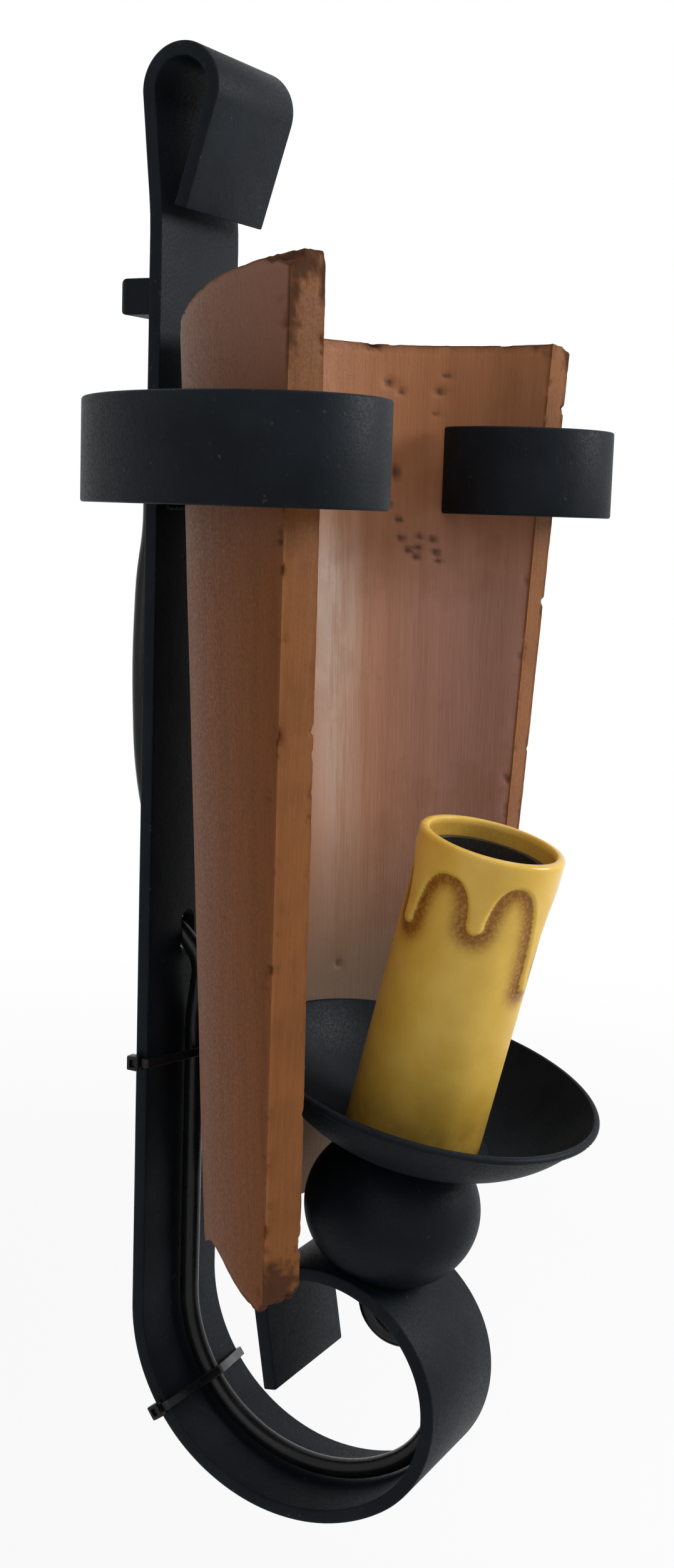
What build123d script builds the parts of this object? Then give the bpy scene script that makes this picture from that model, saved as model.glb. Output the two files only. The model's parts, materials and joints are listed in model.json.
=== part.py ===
from build123d import *

import os
from math import acos, asin, atan2, cos, degrees, pi, radians, sin, sqrt, tan

# Wall lamp of wrought iron: a bent flat bar, a roof tile in a clasp, and a candle light on a scroll.
# Millimetres. X points right, Y into the wall and Z up. The origin is the middle of the hanger lug's
# back face, where it meets the wall.

# Flat bar that everything hangs on
BAR_W = 40.0
BAR_T = 4.0
BAR_LEAN_START = 16.4
SCROLL_START = -282.3

# Loop at the top, folded forward and down into a flap
LOOP_LEAN = 5.5
LOOP_LEAN_R = 100.0
LOOP_RISE = 25.9
LOOP_R_IN = 7.8
FLAP_LEAN = 18.0
FLAP_LEN = 28.4

# Scroll at the bottom, wide at the back and tighter in front, ending in a square-cut tongue
SCROLL_BACK_R_IN = 47.5
SCROLL_BACK_TURN = 125.0
SCROLL_FRONT_R_IN = 32.0
SCROLL_FRONT_TURN = 170.0
TONGUE_R_IN = 5.0
TONGUE_TURN = 74.6
TONGUE_LEN = 26.0

# Hanger lug welded behind the bar
LUG_W = 39.0
LUG_D = 10.0
LUG_H = 9.5
LUG_ROUND = 3.0
HOOK_BORE_R = 2.75
LUG_WELD_LEG = 2.0

# Clasp of flat iron that holds the tile's two wings
CLASP_BELOW_TILE_TOP = 55.3
CLASP_H = 25.0
CLASP_T = 4.0
CLASP_SIDE_R_IN = 61.0
CLASP_SIDE_LEN = 2.5
CLASP_CURL_R_IN = 22.0
WING_IN_CURL = 8.3
WING_PAST_CURL = 8.9
CLASP_WELD_LEN = 30.0
CLASP_WELD_LEG = 2.2

# Roof tile, a tapered half barrel with its hollow side forward and its top cut askew
TILE_BOTTOM = -252.4
TILE_LEN = 253.0
TILE_T = 12.0
TILE_TOP_HALF_W = 85.5
TILE_TOP_DEPTH = 67.2
TILE_BOTTOM_HALF_W = 68.5
TILE_BOTTOM_DEPTH = 46.5
TILE_BOTTOM_SET_BACK = 9.4
TILE_TOP_DROP_RIGHT = 5.5
TILE_TOP_DROP_BACK = 5.2
TILE_SEAT_GAP = 1.0
TILE_CHIP_TOP_LEFT = 8.0
TILE_CHIP_TOP_RIGHT = 6.0
TILE_CHIP_BOTTOM_LEFT = 7.0

# Candle stack: its axis leans forward and stands square on the scroll
AXIS_LEAN = 13.5
SEAT_GAP = 0.05
BALL_R = 24.6
BALL_HALF_H = 22.0
BALL_CENTRE = 16.0
BALL_TOP_CUT = 1.0
BALL_WALL = 1.2
PAN_R = 48.0
PAN_DEPTH = 18.6
PAN_FLOOR_R = 21.5
PAN_BULGE = 3.4
PAN_WALL = 1.2
PAN_BEAD_R = 1.1
SLEEVE_R = 18.8
SLEEVE_WALL = 1.6
SLEEVE_LEN = 86.0
SLEEVE_LIFT_GAP = 0.3
RIM_ROUND = 1.2
COLLAR_PROUD = 1.3
COLLAR_H = 10.0
DRIP_PROUD = 1.0

# Drips round the candle's rim: angle from the front in degrees, length below the rim, half width
DRIPS = (
    (-126.0, 24.5, 3.0),
    (-66.0, 20.0, 3.6),
    (-6.0, 35.7, 2.5),
    (48.0, 18.0, 3.4),
    (104.0, 29.0, 2.8),
    (164.0, 21.0, 3.2),
)

# Threaded tube and nut that hold the stack to the scroll
TUBE_R = 5.0
TUBE_BORE_R = 3.9
TUBE_TAIL = 6.0
TUBE_GRIP = 11.0
TUBE_CLEAR = 0.2
NUT_AF = 14.0
NUT_H = 4.0
THREAD_FIT = 0.03

# Lamp holder for a screw-in bulb
HOLDER_GAP = 0.6
HOLDER_WALL = 1.8
HOLDER_BELOW_RIM = 5.0
HOLDER_CAP_LEN = 36.0
HOLDER_FLOOR = 3.0
HOLDER_BOSS_R = 8.5
HOLDER_BOSS_H = 12.0
SPIGOT_LEN = 7.0
SPIGOT_WALL = 1.4
LEDGE_H = 1.5
FIT_GAP = 0.05
INSERT_H = 10.0
INSERT_CUP_H = 4.6
INSERT_CUP_R = 12.4
SHELL_BORE_R = 13.3
SHELL_WALL = 0.4
SHELL_LEN = 21.4
CONTACT_W = 6.0
CONTACT_T = 0.6
CONTACT_FOOT = 3.5
CONTACT_BEND_R = 2.0
CONTACT_RISE_TURN = 40.0
CONTACT_RISE = 4.0
CONTACT_TIP_TURN = 55.0
CONTACT_TIP = 3.0
TERMINAL_X = 7.0
SCREW_R = 1.5
SCREW_HEAD_R = 2.6
SCREW_HEAD_H = 1.8
SCREW_LEN = 5.0

# Cable, its two cores and its ties
CABLE_R = 2.75
CABLE_GAP = 0.35
CABLE_SLOT_Z = -176.3
CABLE_SLOPE = 45.0
CABLE_SLOT_W = 7.0
CABLE_SLOT_H = 13.5
BOW_R = 9.0
BOW_BACK = 8.0
BOW_LEN = 10.0
BOW_END_R = 30.0
HOOK_LEAD = 5.0
HOOK_TURN = 100.0
CABLE_END_PAST_TUBE = 2.5
CORE_R = 1.0
CORE_X = 1.3
CORE_BEND_R = 5.0
TIE_W = 2.6
TIE_T = 1.1
TIE_GAP = 0.1
TIE_HEAD_W = 3.2
TIE_HEAD_D = 3.8
TIE_HEAD_L = 4.2
TIE_UPPER_Z = -210.3
TIE_LOWER_TURN = 36.0

# Terminal block behind the bar
BLOCK_W = 20.0
BLOCK_D = 8.5
BLOCK_H = 14.0
BLOCK_BOTTOM = -51.0
BLOCK_X = -8.0
BLOCK_SCREW_X = 6.0
BLOCK_SCREW_R = 1.2
BLOCK_SCREW_HEAD_R = 2.2
BLOCK_HEAD_DEPTH = 1.2
BLOCK_FIX_R = 1.5
BLOCK_FIX_HEAD_R = 2.6
BLOCK_FIX_HEAD_H = 1.8
BLOCK_FIX_SHORT = 0.5

# Share of a corner's shorter run that its bend may use
BEND_SHARE = 0.45

# Cable behind the bar, from the slot up to the terminal block: sideways place and height
BACK_ROUTE = ((-5.0, -152.0), (-13.5, -128.0), (-15.4, -98.0), (-14.0, -74.0), (-11.0, -62.0))

# Places of the bar
BAR_BACK_Y = -LUG_D
BAR_MID_Y = BAR_BACK_Y - BAR_T / 2
BAR_FRONT_Y = BAR_BACK_Y - BAR_T

# Centres of the scroll's two arcs, in Y and Z
SCROLL_BACK_R = SCROLL_BACK_R_IN + BAR_T / 2
SCROLL_FRONT_R = SCROLL_FRONT_R_IN + BAR_T / 2
BACK_CENTRE = Vector(BAR_MID_Y - SCROLL_BACK_R, SCROLL_START)
FRONT_CENTRE = BACK_CENTRE + Vector(
    cos(radians(SCROLL_BACK_TURN)), -sin(radians(SCROLL_BACK_TURN))
) * (SCROLL_BACK_R - SCROLL_FRONT_R)

# Candle axis: it starts on the scroll's outer face
AXIS_UP = Vector(0, -sin(radians(AXIS_LEAN)), cos(radians(AXIS_LEAN)))
SEAT = Vector(0, FRONT_CENTRE.X, FRONT_CENTRE.Y) + AXIS_UP * (SCROLL_FRONT_R + BAR_T / 2)
AXIS = Plane(origin=SEAT, x_dir=(1, 0, 0), z_dir=AXIS_UP)

# Heights along the candle axis
BALL_TOP = BALL_CENTRE + BALL_HALF_H - BALL_TOP_CUT
HOLDER_BASE = BALL_TOP + PAN_WALL
SLEEVE_BASE = HOLDER_BASE + SLEEVE_LIFT_GAP
SLEEVE_TOP = SLEEVE_BASE + SLEEVE_LEN
HOLDER_TOP = SLEEVE_TOP - HOLDER_BELOW_RIM
HOLDER_SPLIT = HOLDER_BASE + HOLDER_CAP_LEN
INSERT_BASE = HOLDER_SPLIT + LEDGE_H
INSERT_TOP = INSERT_BASE + INSERT_H
NUT_CORNER_R = NUT_AF / sqrt(3)
NUT_SAG = SCROLL_FRONT_R_IN - sqrt(SCROLL_FRONT_R_IN**2 - NUT_CORNER_R**2)
NUT_TOP = -BAR_T - NUT_SAG - SEAT_GAP
TUBE_BOTTOM = -BAR_T - TUBE_TAIL
TUBE_TOP = HOLDER_BASE + TUBE_GRIP
CABLE_TOP = TUBE_TOP + CABLE_END_PAST_TUBE

# Radii on the candle axis
SLEEVE_BORE_R = SLEEVE_R - SLEEVE_WALL
HOLDER_R = SLEEVE_BORE_R - HOLDER_GAP
HOLDER_BORE_R = HOLDER_R - HOLDER_WALL
SPIGOT_R = HOLDER_BORE_R - FIT_GAP

# The clasp goes round the tile's wings
TILE_TOP = TILE_BOTTOM + TILE_LEN
CLASP_BOTTOM = TILE_TOP - CLASP_BELOW_TILE_TOP
CLASP_TOP = CLASP_BOTTOM + CLASP_H
CLASP_SIDE_R = CLASP_SIDE_R_IN + CLASP_T / 2
CLASP_CURL_R = CLASP_CURL_R_IN + CLASP_T / 2
CLASP_RISE = (CLASP_BOTTOM - TILE_BOTTOM) / TILE_LEN
WING_X = TILE_BOTTOM_HALF_W + (TILE_TOP_HALF_W - TILE_BOTTOM_HALF_W) * CLASP_RISE
CURL_X = WING_X - WING_IN_CURL
CURL_Y = BAR_FRONT_Y - CLASP_T / 2 - CLASP_SIDE_R - CLASP_SIDE_LEN
CLASP_RUN = CURL_X + CLASP_CURL_R - CLASP_SIDE_R
TILE_TOP_FRONT_Y = CURL_Y - WING_PAST_CURL
TILE_BOTTOM_FRONT_Y = TILE_TOP_FRONT_Y + TILE_BOTTOM_SET_BACK

# The clasp's ends stop just short of the tile's hollow side, at the clasp's lower edge
WING_DEPTH = TILE_BOTTOM_DEPTH + (TILE_TOP_DEPTH - TILE_BOTTOM_DEPTH) * CLASP_RISE
WING_FRONT_Y = TILE_BOTTOM_FRONT_Y - TILE_BOTTOM_SET_BACK * CLASP_RISE
WING_R = (WING_X**2 + WING_DEPTH**2) / (2 * WING_DEPTH)
WING_MIDDLE = Vector(0, WING_FRONT_Y + WING_DEPTH - WING_R)
CURL_TO_MIDDLE = WING_MIDDLE - Vector(CURL_X, CURL_Y)
CURL_END_R = CLASP_CURL_R + CLASP_T / 2
CURL_END_TURN = acos(
    (CURL_TO_MIDDLE.length**2 + CURL_END_R**2 - (WING_R - TILE_T - TILE_SEAT_GAP) ** 2)
    / (2 * CURL_TO_MIDDLE.length * CURL_END_R)
)
CLASP_CURL_TURN = degrees(CURL_END_TURN - atan2(CURL_TO_MIDDLE.Y, CURL_TO_MIDDLE.X))


def direction(heading):
    """Return the unit vector of a heading in degrees."""
    return Vector(cos(radians(heading)), sin(radians(heading)))


def step_along(point, heading, move):
    """Return the point and heading after a straight run (length) or a bend (radius, turn)."""
    if len(move) == 1:
        return point + direction(heading) * move[0], heading
    radius, turn = move
    side = 1 if turn > 0 else -1
    centre = point + direction(heading + 90) * radius * side
    return centre + (point - centre).rotate(Axis.Z, turn), heading + turn


def follow(point, heading, moves):
    """Return the point and heading at the end of a list of moves."""
    for move in moves:
        point, heading = step_along(point, heading, move)
    return point, heading


def line_beside(point, heading, moves, offset=0.0):
    """Return the edges that run beside a list of moves, at an offset to the left."""
    edges = []
    for move in moves:
        end, end_heading = step_along(point, heading, move)
        first = point + direction(heading + 90) * offset
        last = end + direction(end_heading + 90) * offset
        if len(move) == 1:
            edges.append(Line(first, last))
        else:
            half, half_heading = step_along(point, heading, (move[0], move[1] / 2))
            edges.append(ThreePointArc(first, half + direction(half_heading + 90) * offset, last))
        point, heading = end, end_heading
    return edges


def bent_bar(plane, start, heading, moves, thickness, width):
    """Return a flat bar bent in a plane, its edge view along the moves and its width square to them."""
    left = line_beside(start, heading, moves, thickness / 2)
    right = line_beside(start, heading, moves, -thickness / 2)
    caps = [Line(left[0] @ 0, right[0] @ 0), Line(left[-1] @ 1, right[-1] @ 1)]
    return extrude(plane * Face(Wire(left + right + caps)), amount=width / 2, both=True)


def on_axis_tube(outer_r, inner_r, bottom, top):
    """Return a plain tube on the candle axis, between two heights."""
    ring = Circle(outer_r) - Circle(inner_r)
    return AXIS * (Pos(0, 0, bottom) * extrude(ring, amount=top - bottom))


def on_axis_rod(radius, bottom, top):
    """Return a round rod on the candle axis, between two heights."""
    return AXIS * (Pos(0, 0, bottom) * extrude(Circle(radius), amount=top - bottom))


def spun(edges):
    """Return the solid of a closed outline of radius and height, turned about the candle axis."""
    return AXIS * revolve(Plane.XZ * Face(Wire(edges)), axis=Axis.Z)


def swept_rod(path, radius):
    """Return a round rod along a wire."""
    return sweep(Plane(origin=path @ 0, z_dir=path % 0) * Circle(radius), path=path)


def fixing_plane():
    """Return the plane of the terminal block's fixing screw on the bar's back, facing the wall."""
    middle = BLOCK_BOTTOM + BLOCK_H / 2
    return Plane(origin=(BLOCK_X, BAR_BACK_Y, middle), x_dir=(1, 0, 0), z_dir=(0, 1, 0))


def make_back_strap():
    """Return the flat bar with its loop, scroll and tongue, and the holes through it."""
    middle = Vector(BAR_MID_Y, 0)
    upper = [
        (BAR_LEAN_START,),
        (LOOP_LEAN_R, -LOOP_LEAN),
        (LOOP_RISE,),
        (LOOP_R_IN + BAR_T / 2, 180 + LOOP_LEAN + FLAP_LEAN),
        (FLAP_LEN,),
    ]
    lower = [
        (-SCROLL_START,),
        (SCROLL_BACK_R, -SCROLL_BACK_TURN),
        (SCROLL_FRONT_R, -SCROLL_FRONT_TURN),
        (TONGUE_R_IN + BAR_T / 2, -TONGUE_TURN),
        (TONGUE_LEN,),
    ]
    strap = bent_bar(Plane.YZ, middle, 90, upper, BAR_T, BAR_W)
    strap += bent_bar(Plane.YZ, middle, -90, lower, BAR_T, BAR_W)
    slot = SlotOverall(CABLE_SLOT_H, CABLE_SLOT_W, rotation=90)
    slot_plane = Plane(origin=(0, BAR_MID_Y, CABLE_SLOT_Z), x_dir=(1, 0, 0), z_dir=(0, -1, 0))
    strap -= extrude(slot_plane * slot, amount=BAR_T, both=True)
    strap -= on_axis_rod(TUBE_R + TUBE_CLEAR, -2 * BAR_T, BAR_T)
    strap -= fixing_plane() * Cylinder(BLOCK_FIX_R + THREAD_FIT, 4 * BAR_T)
    return strap


def make_hanger_lug():
    """Return the rounded block behind the bar, with its upright bore for the wall hook."""
    lug = Pos(0, -LUG_D / 2, 0) * Box(LUG_W, LUG_D, LUG_H)
    lug = fillet(lug.faces().sort_by(Axis.Y)[-1].edges(), LUG_ROUND)
    return lug - Pos(0, -LUG_D / 2, 0) * Cylinder(HOOK_BORE_R, 2 * LUG_H)


def weld_bead(length, leg):
    """Return a three-cornered bead along X, its legs on +Y and +Z from the origin."""
    corner = Wire(Polyline((0, 0), (leg, 0), (0, leg), close=True).edges())
    return extrude(Plane.YZ * Face(corner), amount=length / 2, both=True)


def make_lug_welds():
    """Return the beads above and below the hanger lug, in its corners with the bar."""
    upper = Pos(0, BAR_BACK_Y, LUG_H / 2) * weld_bead(LUG_W - 2 * LUG_ROUND, LUG_WELD_LEG)
    return [upper, mirror(upper, about=Plane.XY)]


def make_tile_clasp():
    """Return the clasp: one strip across the bar that curls round both of the tile's wings."""
    moves = [
        (CLASP_RUN,),
        (CLASP_SIDE_R, 90),
        (CLASP_SIDE_LEN,),
        (CLASP_CURL_R, CLASP_CURL_TURN),
    ]
    start = Vector(0, BAR_FRONT_Y - CLASP_T / 2)
    plane = Plane(origin=(0, 0, CLASP_BOTTOM + CLASP_H / 2))
    half = bent_bar(plane, start, 180, moves, CLASP_T, CLASP_H)
    return half + mirror(half, about=Plane.YZ)


def make_clasp_welds():
    """Return the beads that join the clasp to the bar's front, above and below it."""
    bead = mirror(weld_bead(CLASP_WELD_LEN, CLASP_WELD_LEG), about=Plane.XZ)
    upper = Pos(0, BAR_FRONT_Y, CLASP_TOP) * bead
    lower = Pos(0, BAR_FRONT_Y, CLASP_BOTTOM) * mirror(bead, about=Plane.XY)
    return [upper, lower]


def tile_section(half_w, depth, front_y, height):
    """Return the tile's arched section at one height, from its half width, its depth and its front."""
    outer_r = (half_w**2 + depth**2) / (2 * depth)
    inner_r = outer_r - TILE_T
    middle = Vector(0, front_y + depth - outer_r)
    reach = degrees(asin(half_w / outer_r))
    angles = (90 + reach, 90, 90 - reach)
    outer = ThreePointArc(*(middle + direction(a) * outer_r for a in angles))
    inner = ThreePointArc(*(middle + direction(a) * inner_r for a in angles))
    ends = [Line(outer @ 0, inner @ 0), Line(outer @ 1, inner @ 1)]
    return Pos(0, 0, height) * Face(Wire([outer, inner] + ends))


def make_roof_tile():
    """Return the tapered tile with its askew top and its broken corners."""
    bottom = tile_section(TILE_BOTTOM_HALF_W, TILE_BOTTOM_DEPTH, TILE_BOTTOM_FRONT_Y, TILE_BOTTOM)
    top = tile_section(TILE_TOP_HALF_W, TILE_TOP_DEPTH, TILE_TOP_FRONT_Y, TILE_TOP)
    tile = loft([bottom, top], ruled=True)
    slope_x = TILE_TOP_DROP_RIGHT / (2 * TILE_TOP_HALF_W)
    slope_y = TILE_TOP_DROP_BACK / TILE_TOP_DEPTH
    middle = (0, TILE_TOP_FRONT_Y, TILE_TOP - TILE_TOP_DROP_RIGHT / 2)
    askew = Plane(origin=middle, x_dir=(1, 0, -slope_x), z_dir=(slope_x, slope_y, 1))
    on_plane = (Align.CENTER, Align.CENTER, Align.MIN)
    above = Box(4 * TILE_TOP_HALF_W, 4 * TILE_TOP_DEPTH, TILE_LEN, align=on_plane)
    tile -= askew * above
    corners = (
        (-TILE_TOP_HALF_W, TILE_TOP_FRONT_Y, TILE_TOP, TILE_CHIP_TOP_LEFT),
        (TILE_TOP_HALF_W, TILE_TOP_FRONT_Y, TILE_TOP - TILE_TOP_DROP_RIGHT, TILE_CHIP_TOP_RIGHT),
        (-TILE_BOTTOM_HALF_W, TILE_BOTTOM_FRONT_Y, TILE_BOTTOM, TILE_CHIP_BOTTOM_LEFT),
    )
    for x, y, z, chip in corners:
        tile -= Pos(x, y, z) * Rot(45, 0, 0) * Box(4 * TILE_T, chip / 2, chip / 2)
    return tile


def make_ball():
    """Return the hollow ball, flat where it sits on the scroll and where it carries the pan."""

    def solid_ball(wall):
        half_h = BALL_HALF_H - wall
        low = SEAT_GAP + wall
        high = BALL_TOP - wall
        start = degrees(asin((low - BALL_CENTRE) / half_h))
        end = degrees(asin((high - BALL_CENTRE) / half_h))
        arc = EllipticalCenterArc(
            (0, BALL_CENTRE), BALL_R - wall, half_h, start, arc_size=end - start
        )
        return spun([arc] + Polyline(arc @ 1, (0, high), (0, low), arc @ 0).edges())

    hole = on_axis_rod(TUBE_R + TUBE_CLEAR, -BALL_R, BALL_TOP + BALL_R)
    return solid_ball(0.0) - solid_ball(BALL_WALL) - hole


def make_drip_pan():
    """Return the spun pan: a flat floor, a rounded wall and a bead round its rim."""
    rim_r = PAN_R - PAN_BEAD_R
    rim_z = BALL_TOP + PAN_DEPTH
    foot = Vector(PAN_FLOOR_R, BALL_TOP)
    lip = Vector(rim_r, rim_z)
    across = (lip - foot).normalized()
    inward = across.rotate(Axis.Z, 90)
    under = ThreePointArc(foot, (foot + lip) / 2 - inward * PAN_BULGE, lip)
    upper_foot = foot + Vector(0, PAN_WALL)
    upper_lip = lip + inward * PAN_WALL
    upper = ThreePointArc(
        upper_foot, (foot + lip) / 2 - inward * (PAN_BULGE - PAN_WALL), upper_lip
    )
    hole_r = TUBE_R + TUBE_CLEAR
    floor = Polyline(foot, (hole_r, BALL_TOP), (hole_r, BALL_TOP + PAN_WALL), upper_foot)
    pan = spun([under, upper, Line(lip, upper_lip)] + floor.edges())
    bead = Torus(rim_r, PAN_BEAD_R)
    return pan + AXIS * (Pos(0, 0, rim_z) * bead)


def drip(length, half_w):
    """Return one drip: an upright rod with a round lower end, its tip's centre at the origin."""
    round_end = CenterArc((0, 0), half_w, -90, 90)
    side = Polyline(round_end @ 1, (half_w, length), (0, length), round_end @ 0)
    return revolve(Plane.XZ * Face(Wire([round_end] + side.edges())), axis=Axis.Z)


def make_candle_sleeve():
    """Return the candle: a thin tube with a thicker rim and wax drips down its side."""
    candle = on_axis_tube(SLEEVE_R, SLEEVE_BORE_R, SLEEVE_BASE, SLEEVE_TOP)
    collar_base = SLEEVE_TOP - COLLAR_H
    collar_r = SLEEVE_R + COLLAR_PROUD
    profile = Polyline(
        (SLEEVE_BORE_R, collar_base - COLLAR_PROUD),
        (SLEEVE_R, collar_base - COLLAR_PROUD),
        (collar_r, collar_base),
        (collar_r, SLEEVE_TOP - RIM_ROUND),
        (collar_r - RIM_ROUND, SLEEVE_TOP),
        (SLEEVE_BORE_R, SLEEVE_TOP),
        close=True,
    )
    candle += spun(profile.edges())
    for angle, length, half_w in DRIPS:
        tip = SLEEVE_TOP - length + half_w
        rod = drip(SLEEVE_TOP - COLLAR_H / 2 - tip, half_w)
        candle += AXIS * Rot(0, 0, angle - 90) * Pos(SLEEVE_R + DRIP_PROUD - half_w, 0, tip) * rod
    return candle - on_axis_rod(SLEEVE_BORE_R, SLEEVE_BASE, SLEEVE_TOP)


def make_holder_cap():
    """Return the lamp holder's lower half: a cup with a threaded boss in its floor."""
    cap = on_axis_rod(HOLDER_R, HOLDER_BASE, HOLDER_SPLIT)
    cap -= on_axis_tube(HOLDER_BORE_R, HOLDER_BOSS_R, HOLDER_BASE + HOLDER_FLOOR, HOLDER_SPLIT)
    cap -= on_axis_rod(HOLDER_BORE_R, HOLDER_BASE + HOLDER_BOSS_H, HOLDER_SPLIT)
    return cap - on_axis_rod(TUBE_R + THREAD_FIT, HOLDER_BASE, HOLDER_SPLIT)


def make_holder_skirt():
    """Return the lamp holder's upper half, with the spigot that screws into the cap."""
    skirt = on_axis_tube(HOLDER_R, HOLDER_BORE_R, HOLDER_SPLIT, HOLDER_TOP)
    bore_r = SPIGOT_R - SPIGOT_WALL
    skirt += on_axis_tube(HOLDER_R, bore_r, HOLDER_SPLIT, INSERT_BASE)
    return skirt + on_axis_tube(SPIGOT_R, bore_r, HOLDER_SPLIT - SPIGOT_LEN, INSERT_BASE)


def terminal_places():
    """Return the two terminal screws' places, on the axis plane at the insert's underside."""
    return [AXIS * Pos(side * TERMINAL_X, 0, INSERT_BASE) for side in (-1, 1)]


def make_contact_insert():
    """Return the ceramic cup that carries the shell and the contacts, bored for its two terminal screws."""
    insert = on_axis_rod(SPIGOT_R, INSERT_BASE, INSERT_TOP)
    insert += on_axis_tube(SPIGOT_R, INSERT_CUP_R, INSERT_TOP, INSERT_TOP + INSERT_CUP_H)
    for place in terminal_places():
        insert -= place * Cylinder(SCREW_R + THREAD_FIT, 2 * SCREW_LEN)
    return insert


def make_terminal_screws():
    """Return the two terminal screws, heads down against the insert."""
    down = Align.MAX
    up = Align.MIN
    head = Cylinder(SCREW_HEAD_R, SCREW_HEAD_H, align=(Align.CENTER, Align.CENTER, down))
    shank = Cylinder(SCREW_R, SCREW_LEN, align=(Align.CENTER, Align.CENTER, up))
    return [place * (head + shank) for place in terminal_places()]


def make_screw_shell():
    """Return the brass shell that takes the bulb's thread."""
    base = INSERT_TOP + INSERT_CUP_H
    return on_axis_tube(SHELL_BORE_R + SHELL_WALL, SHELL_BORE_R, base, base + SHELL_LEN)


def make_centre_contact():
    """Return the springy brass strip that the bulb's tip presses on."""
    start = Vector(-TERMINAL_X, INSERT_TOP + CONTACT_T / 2)
    moves = [
        (CONTACT_FOOT,),
        (CONTACT_BEND_R, CONTACT_RISE_TURN),
        (CONTACT_RISE,),
        (CONTACT_BEND_R, -CONTACT_TIP_TURN),
        (CONTACT_TIP,),
    ]
    return AXIS * bent_bar(Plane.XZ, start, 0, moves, CONTACT_T, CONTACT_W)


def make_tube_nut():
    """Return the hexagon nut inside the scroll."""
    nut = extrude(RegularPolygon(NUT_CORNER_R, 6), amount=NUT_H)
    nut = AXIS * Pos(0, 0, NUT_TOP - NUT_H) * nut
    return nut - on_axis_rod(TUBE_R + THREAD_FIT, NUT_TOP - 2 * NUT_H, NUT_TOP + NUT_H)


def corner_radii(points):
    """Return the radius at each corner of a route, from its shorter run."""
    radii = []
    for before, corner, after in zip(points, points[1:], points[2:]):
        turn = (corner - before).get_angle(after - corner)
        shorter = min((corner - before).length, (after - corner).length)
        radii.append(BEND_SHARE * shorter / tan(radians(turn) / 2))
    return radii


def solve_hook(back, rise):
    """Return the run and the bend radius of the hook that takes the cable from the scroll to the tube."""
    start, low, end = (radians(a) for a in (90 - HOOK_LEAD, 90 - HOOK_TURN, 90 + AXIS_LEAN))
    bend_back = sin(start) - 2 * sin(low) + sin(end)
    bend_rise = 2 * cos(low) - cos(start) - cos(end)
    scale = cos(start) * bend_rise - sin(start) * bend_back
    run = (back * bend_rise - rise * bend_back) / scale
    radius = (cos(start) * rise - sin(start) * back) / scale
    return run, radius


def cable_path():
    """Return the cable's line, from the terminal block through the slot and the scroll to the holder."""
    slope = -180 + CABLE_SLOPE
    beside_bar = BAR_FRONT_Y - CABLE_GAP - CABLE_R
    slot = Vector(BAR_MID_Y, CABLE_SLOT_Z)
    bow = [(BOW_R, 90 - CABLE_SLOPE + BOW_BACK), (BOW_LEN,), (BOW_END_R, -BOW_BACK)]
    bow_end, _ = follow(slot, slope, bow)
    first_run = (bow_end.X - beside_bar) / cos(radians(CABLE_SLOPE))
    bow.insert(0, (first_run,))
    bow_end, _ = follow(slot, slope, bow)
    inset = CABLE_GAP + CABLE_R
    moves = bow + [
        (bow_end.Y - SCROLL_START,),
        (SCROLL_BACK_R_IN - inset, -SCROLL_BACK_TURN),
        (SCROLL_FRONT_R_IN - inset, SCROLL_BACK_TURN - 180 - HOOK_LEAD),
    ]
    front, _ = follow(slot, slope, moves)
    entry = SEAT + AXIS_UP * (TUBE_BOTTOM - CABLE_GAP)
    run, hook_r = solve_hook(entry.Y - front.X, entry.Z - front.Y)
    moves += [
        (run,),
        (hook_r, HOOK_LEAD - HOOK_TURN),
        (hook_r, HOOK_TURN + AXIS_LEAN),
        (CABLE_TOP - TUBE_BOTTOM + CABLE_GAP,),
    ]
    front_edges = Plane.YZ * Curve(line_beside(slot, slope, moves))
    back_y = BAR_BACK_Y + CABLE_GAP + CABLE_R
    slope_y = back_y + CABLE_R / 4
    corner = Vector(0, slope_y, CABLE_SLOT_Z + (slope_y - BAR_MID_Y) * tan(radians(CABLE_SLOPE)))
    route = [Vector(x, back_y, z) for x, z in BACK_ROUTE]
    top = Vector(route[-1].X, back_y, BLOCK_BOTTOM - SEAT_GAP)
    points = [Vector(0, slot.X, slot.Y), corner] + route + [top]
    radii = corner_radii(points)
    print("cable radii behind the bar", [round(r, 1) for r in radii], "hook", round(hook_r, 1))
    back = FilletPolyline(*points, radius=radii)
    return Wire(back.edges() + front_edges.edges())


def make_power_cable():
    """Return the cable as one rod along its whole route."""
    path = cable_path()
    cable = swept_rod(path, CABLE_R)
    expected = pi * CABLE_R**2 * path.length
    print("cable length", round(path.length, 1), "volume over section times length", cable.volume / expected)
    return cable


def make_cable_cores():
    """Return the two insulated cores from the cable's end to the terminal screws."""
    foot = CABLE_TOP + SEAT_GAP
    head = INSERT_BASE - SCREW_HEAD_H - SEAT_GAP
    rise = (head - foot) / 3
    cores = []
    for side in (-1, 1):
        line = FilletPolyline(
            (side * CORE_X, 0, foot),
            (side * CORE_X, 0, foot + rise),
            (side * TERMINAL_X, 0, head - rise),
            (side * TERMINAL_X, 0, head),
            radius=CORE_BEND_R,
        )
        cores.append(AXIS * swept_rod(Wire(line.edges()), CORE_R))
    return cores


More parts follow.
